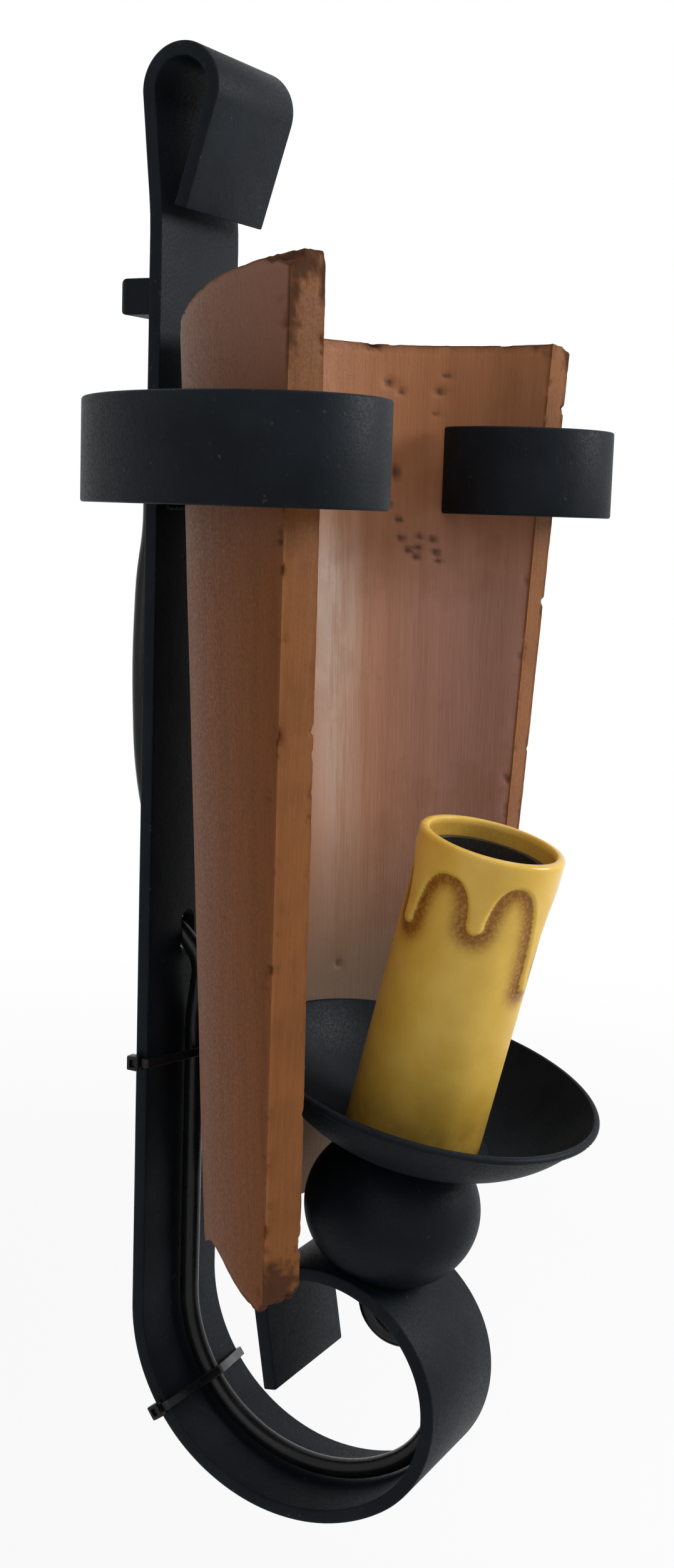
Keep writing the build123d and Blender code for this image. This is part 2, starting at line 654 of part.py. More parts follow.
def tie_outline(clear):
    """Return the face inside a line pulled tight round the bar and the cable, at a clearance."""
    half_w = BAR_W / 2 + clear
    centre = Vector(0, BAR_T / 2 + CABLE_GAP + CABLE_R)
    round_r = CABLE_R + clear
    corner = Vector(half_w, BAR_T / 2 + clear)
    reach = corner - centre
    heading = degrees(atan2(reach.Y, reach.X)) + degrees(acos(round_r / reach.length))
    nose = CenterArc(centre, round_r, heading, 180 - 2 * heading)
    back_y = -BAR_T / 2 - clear
    rest = Polyline(
        nose @ 1, (-half_w, corner.Y), (-half_w, back_y), (half_w, back_y), corner, nose @ 0
    )
    return Face(Wire([nose] + rest.edges()))


def cable_tie(place):
    """Return a cable tie pulled tight round the bar and the cable, its head at the bar's left edge."""
    band = tie_outline(TIE_GAP + TIE_T) - tie_outline(TIE_GAP)
    loop = extrude(band, amount=TIE_W / 2, both=True)
    head_x = -BAR_W / 2 - TIE_GAP - TIE_HEAD_W / 2
    head = Pos(head_x, -TIE_HEAD_D / 4, 0) * Box(TIE_HEAD_W, TIE_HEAD_D, TIE_HEAD_L)
    return place * (loop + head)


def make_upper_tie():
    """Return the tie on the straight of the bar."""
    place = Plane(origin=(0, BAR_MID_Y, TIE_UPPER_Z), x_dir=(1, 0, 0), z_dir=(0, 0, -1))
    return cable_tie(place)


def make_lower_tie():
    """Return the tie on the back of the scroll, square to its curve."""
    out = direction(-TIE_LOWER_TURN)
    spot = BACK_CENTRE + out * SCROLL_BACK_R
    along = Vector(0, -sin(radians(TIE_LOWER_TURN)), -cos(radians(TIE_LOWER_TURN)))
    return cable_tie(Plane(origin=(0, spot.X, spot.Y), x_dir=(1, 0, 0), z_dir=along))


def block_screw_places():
    """Return the terminal block's two clamp screws' places on its wall side."""
    plane = fixing_plane()
    return [plane * Pos(side * BLOCK_SCREW_X, 0, BLOCK_D) for side in (-1, 1)]


def sunk(radius, depth):
    """Return a cylinder that hangs below its place."""
    return Cylinder(radius, depth, align=(Align.CENTER, Align.CENTER, Align.MAX))


def make_terminal_block():
    """Return the terminal block, with a well for each clamp screw and for its fixing screw."""
    plane = fixing_plane()
    block = plane * Box(BLOCK_W, BLOCK_H, BLOCK_D, align=(Align.CENTER, Align.CENTER, Align.MIN))
    for place in block_screw_places():
        block -= place * sunk(BLOCK_SCREW_HEAD_R + FIT_GAP, 2 * BLOCK_HEAD_DEPTH)
        block -= place * sunk(BLOCK_SCREW_R + THREAD_FIT, BLOCK_D / 2 + BLOCK_HEAD_DEPTH)
    top = plane * Pos(0, 0, BLOCK_D)
    block -= top * sunk(BLOCK_FIX_HEAD_R + FIT_GAP, 2 * BLOCK_FIX_HEAD_H)
    return block - plane * Cylinder(BLOCK_FIX_R + THREAD_FIT, 4 * BLOCK_D)


def make_block_screws():
    """Return the terminal block's two clamp screws."""
    screws = []
    for place in block_screw_places():
        seat = place * Pos(0, 0, -BLOCK_HEAD_DEPTH)
        shank = sunk(BLOCK_SCREW_R, BLOCK_D / 2)
        screws.append(seat * (sunk(BLOCK_SCREW_HEAD_R, BLOCK_HEAD_DEPTH) + shank))
    return screws


def make_block_fixing_screw():
    """Return the screw that holds the terminal block to the bar."""
    seat = fixing_plane() * Pos(0, 0, BLOCK_D - BLOCK_FIX_HEAD_H)
    shank = sunk(BLOCK_FIX_R, BLOCK_D - BLOCK_FIX_HEAD_H + BAR_T - BLOCK_FIX_SHORT)
    return seat * (sunk(BLOCK_FIX_HEAD_R, BLOCK_FIX_HEAD_H) + shank)


def write_node(name, shape):
    """Write one node's solids to a STEP file."""
    solids = shape if isinstance(shape, list) else [shape]
    solids = [solid for piece in solids for solid in piece.solids()]
    export_step(solids[0] if len(solids) == 1 else Compound(children=solids), f"parts/{name}.step")


NODES = {
    "back_strap": make_back_strap,
    "hanger_lug": make_hanger_lug,
    "lug_welds": make_lug_welds,
    "tile_clasp": make_tile_clasp,
    "clasp_welds": make_clasp_welds,
    "roof_tile": make_roof_tile,
    "scroll_ball": make_ball,
    "drip_pan": make_drip_pan,
    "candle_sleeve": make_candle_sleeve,
    "threaded_tube": lambda: on_axis_tube(TUBE_R, TUBE_BORE_R, TUBE_BOTTOM, TUBE_TOP),
    "tube_nut": make_tube_nut,
    "holder_cap": make_holder_cap,
    "holder_skirt": make_holder_skirt,
    "contact_insert": make_contact_insert,
    "terminal_screws": make_terminal_screws,
    "screw_shell": make_screw_shell,
    "centre_contact": make_centre_contact,
    "power_cable": make_power_cable,
    "cable_cores": make_cable_cores,
    "cable_tie_upper": make_upper_tie,
    "cable_tie_lower": make_lower_tie,
    "terminal_block": make_terminal_block,
    "block_clamp_screws": make_block_screws,
    "block_fixing_screw": make_block_fixing_screw,
}

os.makedirs("parts", exist_ok=True)
for node, make in NODES.items():
    write_node(node, make())
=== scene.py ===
"""Looks of a wrought iron wall lamp: painted flat bar, terracotta roof tile and imitation candle."""
import json
import logging
import math
from dataclasses import dataclass, field
from enum import Enum
from typing import Any, Sequence

import bmesh
import bpy
import numpy as np
from mathutils import Matrix, Vector, noise


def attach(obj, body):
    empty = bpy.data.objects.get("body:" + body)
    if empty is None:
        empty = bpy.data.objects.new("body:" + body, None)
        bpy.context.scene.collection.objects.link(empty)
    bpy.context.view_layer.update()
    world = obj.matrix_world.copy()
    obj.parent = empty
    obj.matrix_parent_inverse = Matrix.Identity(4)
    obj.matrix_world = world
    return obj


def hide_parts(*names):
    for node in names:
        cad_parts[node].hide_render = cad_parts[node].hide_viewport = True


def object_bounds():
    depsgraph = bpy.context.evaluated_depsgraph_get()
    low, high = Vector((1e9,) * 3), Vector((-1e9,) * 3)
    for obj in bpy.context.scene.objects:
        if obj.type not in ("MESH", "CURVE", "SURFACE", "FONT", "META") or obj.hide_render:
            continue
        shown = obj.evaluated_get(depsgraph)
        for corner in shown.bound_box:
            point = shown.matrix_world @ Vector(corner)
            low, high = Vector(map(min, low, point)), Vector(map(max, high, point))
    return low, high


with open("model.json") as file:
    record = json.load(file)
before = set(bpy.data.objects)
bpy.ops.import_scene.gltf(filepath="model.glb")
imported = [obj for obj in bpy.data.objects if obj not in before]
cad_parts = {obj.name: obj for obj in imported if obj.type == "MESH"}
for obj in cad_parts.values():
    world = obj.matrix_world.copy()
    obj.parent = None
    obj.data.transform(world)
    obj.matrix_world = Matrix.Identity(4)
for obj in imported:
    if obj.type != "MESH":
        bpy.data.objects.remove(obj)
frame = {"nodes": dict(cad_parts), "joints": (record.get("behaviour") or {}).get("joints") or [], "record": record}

LOG = logging.getLogger("wall_lamp")
MM = 0.001
CAD_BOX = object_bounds()

# A straight run is (length,) and a bend is (radius, turn in degrees), both from the line's own heading
Moves = Sequence[tuple[float, ...]]
RUN_STEP = 4.0
BEND_STEP = 2.5
ARC_STEP = 15
END_EASE = 0.5
EASED = {"segments": 2, "profile": 0.6, "affect": "EDGES"}

# A noise texture's values lie mostly between these two
NOISE_SPAN = (0.3, 0.7)


class Body(Enum):
    """Rigid bodies that the pieces ride on."""

    LAMP = "lamp"
    TILE = "tile"
    CANDLE = "candle"


class Slot(Enum):
    """Material slots of the record."""

    IRON = "iron"
    TERRACOTTA = "terracotta"
    WAX = "wax"
    ZINC = "zinc"
    BLACK_PLASTIC = "black_plastic"
    PORCELAIN = "porcelain"
    BRASS = "brass"
    BLACK_PVC = "black_pvc"
    CORE_PVC = "core_pvc"
    BLOCK_PLASTIC = "block_plastic"


class Graph:
    """A node tree with short calls that add nodes and join their sockets."""

    def __init__(self, tree: bpy.types.NodeTree) -> None:
        """Take the tree that nodes are added to."""
        self.tree = tree

    def add(self, kind: str, inputs: dict[Any, Any] | None = None, **settings: Any) -> bpy.types.Node:
        """Add a node.

        Args:
            kind: the node's type name.
            inputs: input name or number to a value or to another node's output socket.
            settings: the node's own properties.

        Returns:
            The new node.
        """
        node = self.tree.nodes.new(kind)
        for name, value in settings.items():
            setattr(node, name, value)
        for key, value in (inputs or {}).items():
            socket = node.inputs[key]
            if isinstance(value, bpy.types.NodeSocket):
                self.tree.links.new(value, socket)
            else:
                socket.default_value = value
        return node

    def math(self, operation: str, a: Any, b: Any = 0.0) -> bpy.types.NodeSocket:
        """Return the result socket of a math node."""
        return self.add("ShaderNodeMath", {0: a, 1: b}, operation=operation).outputs[0]

    def weigh(self, a: Any, a_share: float, b: Any, b_share: float) -> bpy.types.NodeSocket:
        """Return the weighted sum of two values."""
        return self.math("ADD", self.math("MULTIPLY", a, a_share), self.math("MULTIPLY", b, b_share))

    def remap(self, value: Any, low: float, high: float, start: float = 0.0, end: float = 1.0) -> Any:
        """Return a value mapped smoothly from low..high to start..end."""
        inputs = {"Value": value, "From Min": low, "From Max": high, "To Min": start, "To Max": end}
        return self.add("ShaderNodeMapRange", inputs, interpolation_type="SMOOTHSTEP").outputs["Result"]

    def mix(self, factor: Any, a: Any, b: Any) -> bpy.types.NodeSocket:
        """Return the colour between a and b.

        Args:
            factor: 0 for a to 1 for b.
            a: a colour or a socket.
            b: the other one.

        Returns:
            The colour's socket.
        """
        node = self.add("ShaderNodeMix", data_type="RGBA", blend_type="MIX")
        for index, value in ((0, factor), (6, a), (7, b)):
            if isinstance(value, bpy.types.NodeSocket):
                self.tree.links.new(value, node.inputs[index])
            else:
                node.inputs[index].default_value = (*value, 1.0) if index else value
        return node.outputs[2]

    def noise(self, vector: Any, scale: Any, detail: float = 3.0, rough: float = 0.5) -> Any:
        """Return the value of a noise texture."""
        inputs = {"Vector": vector, "Scale": scale, "Detail": detail, "Roughness": rough}
        return self.add("ShaderNodeTexNoise", inputs).outputs["Fac"]

    def attribute(self, name: str) -> bpy.types.NodeSocket:
        """Return a mesh attribute's value."""
        return self.add("ShaderNodeAttribute", attribute_name=name).outputs["Fac"]


def new_group(name: str, kind: str, inputs: Sequence[tuple], outputs: Sequence[tuple]) -> tuple:
    """Make a node group with named sockets.

    Args:
        name: the group's name.
        kind: the tree's type name.
        inputs: (name, socket type, default or None) of each input.
        outputs: (name, socket type) of each output.

    Returns:
        The tree, its graph, its input node and its output node.
    """
    tree = bpy.data.node_groups.new(name, kind)
    for label, socket_type, default in inputs:
        socket = tree.interface.new_socket(label, in_out="INPUT", socket_type=socket_type)
        if default is not None:
            socket.default_value = default
    for label, socket_type in outputs:
        tree.interface.new_socket(label, in_out="OUTPUT", socket_type=socket_type)
    graph = Graph(tree)
    return tree, graph, graph.add("NodeGroupInput"), graph.add("NodeGroupOutput")


class Effects:
    """Shader node groups that several finishes share."""

    def __init__(self) -> None:
        """Build every group once."""
        self.grain = self._grain()
        self.streaks = self._streaks()
        self.wear = self._wear()

    @staticmethod
    def _grain() -> bpy.types.NodeTree:
        """Return the group of fine grain and wide mottling.

        Returns:
            The group's tree.
        """
        number = "NodeSocketFloat"
        tree, graph, source, sink = new_group(
            "surface_grain",
            "ShaderNodeTree",
            (("Vector", "NodeSocketVector", None), ("Fine", number, 900.0), ("Wide", number, 30.0)),
            (("Grain", number), ("Mottle", number)),
        )
        vector = source.outputs["Vector"]
        fine = graph.noise(vector, source.outputs["Fine"], 2.0, 0.6)
        wide = graph.noise(vector, source.outputs["Wide"], 4.0, 0.55)
        graph.tree.links.new(fine, sink.inputs["Grain"])
        graph.tree.links.new(graph.remap(wide, *NOISE_SPAN), sink.inputs["Mottle"])
        return tree

    @staticmethod
    def _streaks() -> bpy.types.NodeTree:
        """Return the group of upright streaks, as a wiped or extruded surface has.

        Returns:
            The group's tree.
        """
        number = "NodeSocketFloat"
        tree, graph, source, sink = new_group(
            "upright_streaks",
            "ShaderNodeTree",
            (("Vector", "NodeSocketVector", None), ("Across", number, 400.0), ("Along", number, 8.0)),
            (("Streak", number),),
        )
        scale = graph.add(
            "ShaderNodeCombineXYZ",
            {"X": source.outputs["Across"], "Y": source.outputs["Across"], "Z": source.outputs["Along"]},
        )
        stretched = graph.add(
            "ShaderNodeVectorMath",
            {0: source.outputs["Vector"], 1: scale.outputs["Vector"]},
            operation="MULTIPLY",
        )
        value = graph.noise(stretched.outputs["Vector"], 1.0, 3.0, 0.6)
        graph.tree.links.new(graph.remap(value, 0.32, 0.68), sink.inputs["Streak"])
        return tree

    @staticmethod
    def _wear() -> bpy.types.NodeTree:
        """Return the group of broken wear along the edges that a mesh has marked.

        Returns:
            The group's tree.
        """
        number = "NodeSocketFloat"
        tree, graph, source, sink = new_group(
            "edge_wear",
            "ShaderNodeTree",
            (("Vector", "NodeSocketVector", None), ("Scale", number, 160.0), ("Amount", number, 0.5)),
            (("Mask", number),),
        )
        patches = graph.noise(source.outputs["Vector"], source.outputs["Scale"], 5.0, 0.7)
        limit = graph.math("SUBTRACT", 1.0, source.outputs["Amount"])
        over = graph.math("SUBTRACT", patches, limit)
        broken = graph.remap(over, 0.0, 0.08)
        mask = graph.math("MULTIPLY", broken, graph.attribute("edge"))
        graph.tree.links.new(mask, sink.inputs["Mask"])
        return tree


class Finish:
    """A procedural finish: a material with its own nodes round one principled shader."""

    name: str

    def build(self, effects: Effects) -> bpy.types.Material:
        """Return the finish's material.

        Args:
            effects: the shared node groups.

        Returns:
            The new material.
        """
        material = bpy.data.materials.new(self.name)
        material.use_nodes = True
        graph = Graph(material.node_tree)
        shader = material.node_tree.nodes["Principled BSDF"]
        place = graph.add("ShaderNodeTexCoord").outputs["Object"]
        self.paint(graph, shader, place, effects)
        return material

    def paint(self, graph: Graph, shader: bpy.types.Node, place: Any, effects: Effects) -> None:
        """Wire the finish's nodes into its shader."""
        raise NotImplementedError

    @staticmethod
    def group(graph: Graph, tree: bpy.types.NodeTree, place: Any, **values: float) -> bpy.types.Node:
        """Return a placed node group with its own values.

        Args:
            graph: the material's nodes.
            tree: the shared group.
            place: the coordinates that it reads.
            values: its inputs by name.

        Returns:
            The group's node.
        """
        node = graph.add("ShaderNodeGroup", node_tree=tree)
        graph.tree.links.new(place, node.inputs["Vector"])
        for name, value in values.items():
            node.inputs[name].default_value = value
        return node

    @staticmethod
    def bump(graph: Graph, shader: bpy.types.Node, height: Any, distance: float, strength: float) -> None:
        """Give the shader a bumped normal.

        Args:
            graph: the material's nodes.
            shader: its principled shader.
            height: the height's socket.
            distance: the full height in metres.
            strength: how strongly it shows.
        """
        inputs = {"Height": height, "Distance": distance, "Strength": strength}
        node = graph.add("ShaderNodeBump", inputs)
        graph.tree.links.new(node.outputs["Normal"], shader.inputs["Normal"])

    @staticmethod
    def feed(graph: Graph, shader: bpy.types.Node, **sockets: Any) -> None:
        """Link or set shader inputs, with underscores for spaces in their names.

        Args:
            graph: the material's nodes.
            shader: the shader.
            sockets: a value or a socket for each input.
        """
        for name, value in sockets.items():
            socket = shader.inputs[name.replace("_", " ")]
            if isinstance(value, bpy.types.NodeSocket):
                graph.tree.links.new(value, socket)
            else:
                socket.default_value = value


@dataclass(frozen=True)
class PaintedIron(Finish):
    """Matte charcoal paint on hammered iron, with dust and bright nicks on the edges."""

    name: str = "painted_iron"
    dark: tuple = (0.0038, 0.0055, 0.0078)
    light: tuple = (0.0080, 0.0110, 0.0148)
    bare: tuple = (0.10, 0.105, 0.11)
    dust: tuple = (0.035, 0.040, 0.044)
    grain_scale: float = 1500.0
    mottle_scale: float = 45.0
    wear_scale: float = 420.0
    wear_amount: float = 0.36
    nick_strength: float = 0.6
    speck_scale: float = 520.0
    speck_span: tuple = (0.75, 0.82)
    speck_strength: float = 0.3
    rough: tuple = (0.44, 0.60)
    gloss: float = 0.075
    wave_share: float = 2.0
    bump_depth: float = 0.00012
    bump_strength: float = 0.5

    def paint(self, graph: Graph, shader: bpy.types.Node, place: Any, effects: Effects) -> None:
        """Wire the paint, its grain, its dust and its worn edges.

        Args:
            graph: the material's nodes.
            shader: its principled shader.
            place: the Object coordinates.
            effects: the shared node groups.
        """
        grain = self.group(graph, effects.grain, place, Fine=self.grain_scale, Wide=self.mottle_scale)
        wear = self.group(graph, effects.wear, place, Scale=self.wear_scale, Amount=self.wear_amount)
        fine, mottle = grain.outputs["Grain"], grain.outputs["Mottle"]
        paint = graph.mix(mottle, self.dark, self.light)
        flecks = graph.noise(place, self.speck_scale, 1.0)
        dusty = graph.mix(graph.remap(flecks, *self.speck_span, 0.0, self.speck_strength), paint, self.dust)
        nicks = graph.math("MULTIPLY", wear.outputs["Mask"], self.nick_strength)
        rough = graph.remap(fine, *NOISE_SPAN, *self.rough)
        self.feed(graph, shader, Base_Color=graph.mix(nicks, dusty, self.bare), Roughness=rough)
        self.feed(graph, shader, Specular_IOR_Level=self.gloss)
        height = graph.weigh(mottle, self.wave_share, fine, 1.0)
        self.bump(graph, shader, height, self.bump_depth, self.bump_strength)


@dataclass(frozen=True)
class Terracotta(Finish):
    """Fired clay: wiped brown outside, streaky and paler inside with bands of painted sheen and painted shadow of
    the candle low down, ochre on cut edges, dark where broken.
    """

    name: str = "terracotta"
    outside: tuple = (0.180, 0.059, 0.016)
    outside_deep: tuple = (0.138, 0.043, 0.010)
    # Greyer and lighter towards the top of the outside
    upper_grey: tuple = (0.22, 0.105, 0.068)
    inside: tuple = (0.29, 0.119, 0.051)
    inside_deep: tuple = (0.24, 0.095, 0.038)
    rose: tuple = (0.33, 0.172, 0.126)
    rose_deep: tuple = (0.275, 0.140, 0.100)
    # Painted sheen: the pale bands down the hollow side
    pale: tuple = (0.45, 0.34, 0.275)
    cut: tuple = (0.198, 0.069, 0.014)
    cut_deep: tuple = (0.132, 0.043, 0.009)
    # Painted shadow of the candle on the lower hollow side
    low: tuple = (0.115, 0.080, 0.055)
    burnt: tuple = (0.020, 0.007, 0.004)
    fine_across: float = 1500.0
    fine_along: float = 7.0
    broad_across: float = 150.0
    broad_along: float = 2.0
    grain_scale: float = 1300.0
    mottle_scale: float = 55.0
    fine_in_streak: float = 0.35
    fine_in_cut: float = 0.3
    wipe_span: tuple = (0.15, 0.8)
    wipe_least: float = 0.5
    blotch: float = 0.18
    crust_grain: float = 0.3
    rough: tuple = (0.50, 0.70)
    broken_rough: float = 0.3
    gloss: float = 0.16
    tool_marks: float = 0.4
    bump_depth: float = 0.00014
    bump_strength: float = 0.5

    def paint(self, graph: Graph, shader: bpy.types.Node, place: Any, effects: Effects) -> None:
        """Wire the faces' colours by the masks that the tile's mesh carries.

        Args:
            graph: the material's nodes.
            shader: its principled shader.
            place: the Object coordinates.
            effects: the shared node groups.
        """
        scales = {"Across": self.fine_across, "Along": self.fine_along}
        fine = self.group(graph, effects.streaks, place, **scales).outputs["Streak"]
        scales = {"Across": self.broad_across, "Along": self.broad_along}
        broad = self.group(graph, effects.streaks, place, **scales).outputs["Streak"]
        grain = self.group(graph, effects.grain, place, Fine=self.grain_scale, Wide=self.mottle_scale)
        mottle = grain.outputs["Mottle"]
        streak = graph.weigh(fine, self.fine_in_streak, broad, 1 - self.fine_in_streak)
        outside = graph.mix(streak, self.outside_deep, self.outside)
        outside = graph.mix(graph.attribute("upper_grey"), outside, self.upper_grey)
        inside = graph.mix(streak, self.inside_deep, self.inside)
        inside = graph.mix(graph.attribute("rose"), inside, graph.mix(streak, self.rose_deep, self.rose))
        wiped = graph.remap(streak, *self.wipe_span, self.wipe_least, 1.0)
        # Pale bands of painted sheen, broken up by the streaks
        inside = graph.mix(graph.math("MULTIPLY", graph.attribute("pale"), wiped), inside, self.pale)
        # Painted shadow of the candle, darker towards the bottom of the hollow side
        inside = graph.mix(graph.attribute("low"), inside, self.low)
        sawn = graph.weigh(fine, self.fine_in_cut, mottle, 1 - self.fine_in_cut)
        clay = graph.mix(graph.attribute("inner"), outside, inside)
        clay = graph.mix(graph.attribute("cut"), clay, graph.mix(sawn, self.cut_deep, self.cut))
        clay = graph.mix(graph.remap(mottle, 0.5, 1.0, 0.0, self.blotch), clay, self.cut_deep)
        broken = graph.attribute("broken")
        crumbs = graph.math("MULTIPLY", grain.outputs["Grain"], self.crust_grain)
        clay = graph.mix(broken, clay, graph.mix(crumbs, self.burnt, self.cut))
        clay = graph.mix(graph.attribute("pit"), clay, self.burnt)
        rough = graph.remap(grain.outputs["Grain"], *NOISE_SPAN, *self.rough)
        dull = graph.weigh(rough, 1.0, broken, self.broken_rough)
        self.feed(graph, shader, Base_Color=clay, Roughness=dull, Specular_IOR_Level=self.gloss)
        height = graph.weigh(grain.outputs["Grain"], 1 - self.tool_marks, fine, self.tool_marks)
        self.bump(graph, shader, height, self.bump_depth, self.bump_strength)


@dataclass(frozen=True)
class CandleWax(Finish):
    """Ochre imitation wax with burnt edges below the drips, painted shade in the bore, and a browner foot darkened
    further with painted shade.
    """

    name: str = "candle_wax"
    wax: tuple = (0.62, 0.385, 0.055)
    wax_light: tuple = (0.70, 0.46, 0.085)
    # The halos' brown, also laid in the bore as painted shade
    burnt: tuple = (0.223, 0.079, 0.006)
    # Browner foot, darkened further as painted shade from the drip pan
    foot_tint_and_shade: tuple = (0.135, 0.060, 0.007)
    grain_scale: float = 700.0
    mottle_scale: float = 70.0
    rub_scale: float = 160.0
    rub_span: tuple = (0.25, 0.7)
    rub_least: float = 0.55
    spray_scale: float = 1100.0
    spray_span: tuple = (0.3, 0.6)
    spray_least: float = 0.7
    rough: tuple = (0.36, 0.48)
    run_gloss: float = 0.2
    gloss: float = 0.28
    glow: float = 0.12
    glow_depth: float = 0.004
    grain_share: float = 0.25
    bump_depth: float = 0.00018
    bump_strength: float = 0.4

    def paint(self, graph: Graph, shader: bpy.types.Node, place: Any, effects: Effects) -> None:
        """Wire the wax, its sprayed halos with the painted shade in the bore, its browner foot with painted shade
        and its glossier runs.

        Args:
            graph: the material's nodes.
            shader: its principled shader.
            place: the Object coordinates.
            effects: the shared node groups.
        """
        grain = self.group(graph, effects.grain, place, Fine=self.grain_scale, Wide=self.mottle_scale)
        fine, mottle = grain.outputs["Grain"], grain.outputs["Mottle"]
        wax = graph.mix(mottle, self.wax, self.wax_light)
        rubbed = graph.noise(place, self.rub_scale, 4.0, 0.6)
        rub = graph.remap(rubbed, *self.rub_span, self.rub_least, 1.0)
        # The foot: browner wax and painted shade
        wax = graph.mix(graph.math("MULTIPLY", graph.attribute("foot_tint_and_shade"), rub), wax, self.foot_tint_and_shade)
        sprayed = graph.noise(place, self.spray_scale, 2.0, 0.6)
        spray = graph.remap(sprayed, *self.spray_span, self.spray_least, 1.0)
        # Sprayed halos, and painted shade in the bore
        wax = graph.mix(graph.math("MULTIPLY", graph.attribute("halo_and_bore_shade"), spray), wax, self.burnt)
        rough = graph.remap(fine, *NOISE_SPAN, *self.rough)
        glossier = graph.math("MULTIPLY", graph.attribute("run"), self.run_gloss)
        self.feed(graph, shader, Base_Color=wax, Roughness=graph.math("SUBTRACT", rough, glossier))
        self.feed(graph, shader, Specular_IOR_Level=self.gloss)
        self.feed(graph, shader, Subsurface_Weight=self.glow, Subsurface_Scale=self.glow_depth)
        height = graph.weigh(mottle, 1.0, fine, self.grain_share)
        self.bump(graph, shader, height, self.bump_depth, self.bump_strength)


@dataclass(frozen=True)
class Moulded(Finish):
    """Moulded or fired material of one colour, slightly cloudy, with a fine skin."""

    name: str
    deep: tuple
    light: tuple
    rough_low: float
    rough_high: float
    skin: float = 0.00004
    metal: float = 0.0
    gloss: float = 0.5
    grain_scale: float = 1200.0
    mottle_scale: float = 90.0
    grain_span: tuple = (0.25, 0.75)
    bump_strength: float = 0.5

    def paint(self, graph: Graph, shader: bpy.types.Node, place: Any, effects: Effects) -> None:
        """Wire the cloudy colour, the uneven gloss and the skin.

        Args:
            graph: the material's nodes.
            shader: its principled shader.
            place: the Object coordinates.
            effects: the shared node groups.
        """
        grain = self.group(graph, effects.grain, place, Fine=self.grain_scale, Wide=self.mottle_scale)
        fine = grain.outputs["Grain"]
        colour = graph.mix(grain.outputs["Mottle"], self.deep, self.light)
        rough = graph.remap(fine, *self.grain_span, self.rough_low, self.rough_high)
        self.feed(graph, shader, Base_Color=colour, Roughness=rough, Metallic=self.metal)
        self.feed(graph, shader, Specular_IOR_Level=self.gloss)
        self.bump(graph, shader, fine, self.skin, self.bump_strength)


class Finishes:
    """Every material of the lamp, by its record slot."""

    def __init__(self) -> None:
        """Build the shared effects and each finish."""
        effects = Effects()
        made = {
            Slot.IRON: PaintedIron(),
            Slot.TERRACOTTA: Terracotta(),
            Slot.WAX: CandleWax(),
            Slot.ZINC: Moulded(
                "dull_zinc", (0.020, 0.020, 0.021), (0.038, 0.038, 0.038), 0.45, 0.60, metal=1.0
            ),
            Slot.BLACK_PLASTIC: Moulded(
                "holder_plastic", (0.008, 0.008, 0.009), (0.014, 0.014, 0.015), 0.34, 0.5
            ),
            Slot.PORCELAIN: Moulded("porcelain", (0.62, 0.60, 0.55), (0.72, 0.70, 0.65), 0.4, 0.6),
            Slot.BRASS: Moulded("brass", (0.50, 0.33, 0.11), (0.66, 0.46, 0.18), 0.22, 0.42, metal=1.0),
            Slot.BLACK_PVC: Moulded(
                "black_pvc", (0.004, 0.0042, 0.0046), (0.008, 0.0083, 0.009), 0.24, 0.36, gloss=0.2
            ),
            Slot.CORE_PVC: Moulded("core_pvc", (0.20, 0.07, 0.02), (0.27, 0.10, 0.03), 0.3, 0.45),
            Slot.BLOCK_PLASTIC: Moulded("block_plastic", (0.60, 0.58, 0.50), (0.70, 0.68, 0.60), 0.35, 0.5),
        }
        self.materials = {slot: finish.build(effects) for slot, finish in made.items()}

    def __getitem__(self, slot: Slot) -> bpy.types.Material:
        """Return one slot's material."""
        return self.materials[slot]


class Workshop:
    """Turns meshes into finished pieces, and dresses the CAD nodes that stay."""

    def __init__(self, finishes: Finishes) -> None:
        """Take the finishes that pieces are dressed in."""
        self.finishes = finishes

    def piece(self, name: str, mesh: bpy.types.Mesh, body: Body, slot: Slot, *nodes: str) -> None:
        """Add a finished piece to the scene.

        Args:
            name: the piece's name.
            mesh: its mesh, in its place in the lamp's frame.
            body: the body that it rides on.
            slot: the record's material slot.
            nodes: the CAD nodes that it stands for.
        """
        mesh.materials.clear()
        mesh.materials.append(self.finishes[slot])
        piece = bpy.data.objects.new(name, mesh)
        bpy.context.scene.collection.objects.link(piece)
        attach(piece, body.value)
        if nodes:
            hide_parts(*nodes)
        LOG.info("%s: %d faces", name, len(mesh.polygons))

    def dress(self, node: str, slot: Slot) -> None:
        """Give a CAD node its finish.

        Args:
            node: the node's name.
            slot: the record's material slot.
        """
        materials = frame["nodes"][node].data.materials
        materials.clear()
        materials.append(self.finishes[slot])
        LOG.info("%s: dressed in %s", node, slot.value)


def direction(heading: float) -> Vector:
    """Return the unit vector of a heading in degrees."""
    return Vector((math.cos(math.radians(heading)), math.sin(math.radians(heading))))


def walk(start: Sequence[float], heading: float, moves: Moves) -> list[Vector]:
    """Return the points of a bend line.

    Args:
        start: the first point, in the line's plane.
        heading: the first heading in degrees.
        moves: the runs and bends.

    Returns:
        Points along the line.
    """
    points = [Vector(start)]
    for move in moves:
        if len(move) == 1:
            count = max(1, round(move[0] / RUN_STEP))
            for _ in range(count):
                points.append(points[-1] + direction(heading) * move[0] / count)
            continue
        radius, turn = move
        side = math.copysign(90.0, turn)
        centre = points[-1] + direction(heading + side) * radius
        count = max(2, round(abs(turn) / BEND_STEP))
        for _ in range(count):
            heading += turn / count
            points.append(centre - direction(heading + side) * radius)
    return points


def line_mesh(name: str, points: Sequence[Vector], closed: bool = False) -> bpy.types.Mesh:
    """Return a mesh of edges through points given in millimetres.

    Args:
        name: the mesh's name.
        points: the places, in order.
        closed: whether the last joins the first.

    Returns:
        The new mesh.
    """
    mesh = bpy.data.meshes.new(name)
    edges = [(i, i + 1) for i in range(len(points) - 1)]
    if closed:
        edges.append((len(points) - 1, 0))
    mesh.from_pydata([Vector(p) * MM for p in points], edges, [])
    return mesh


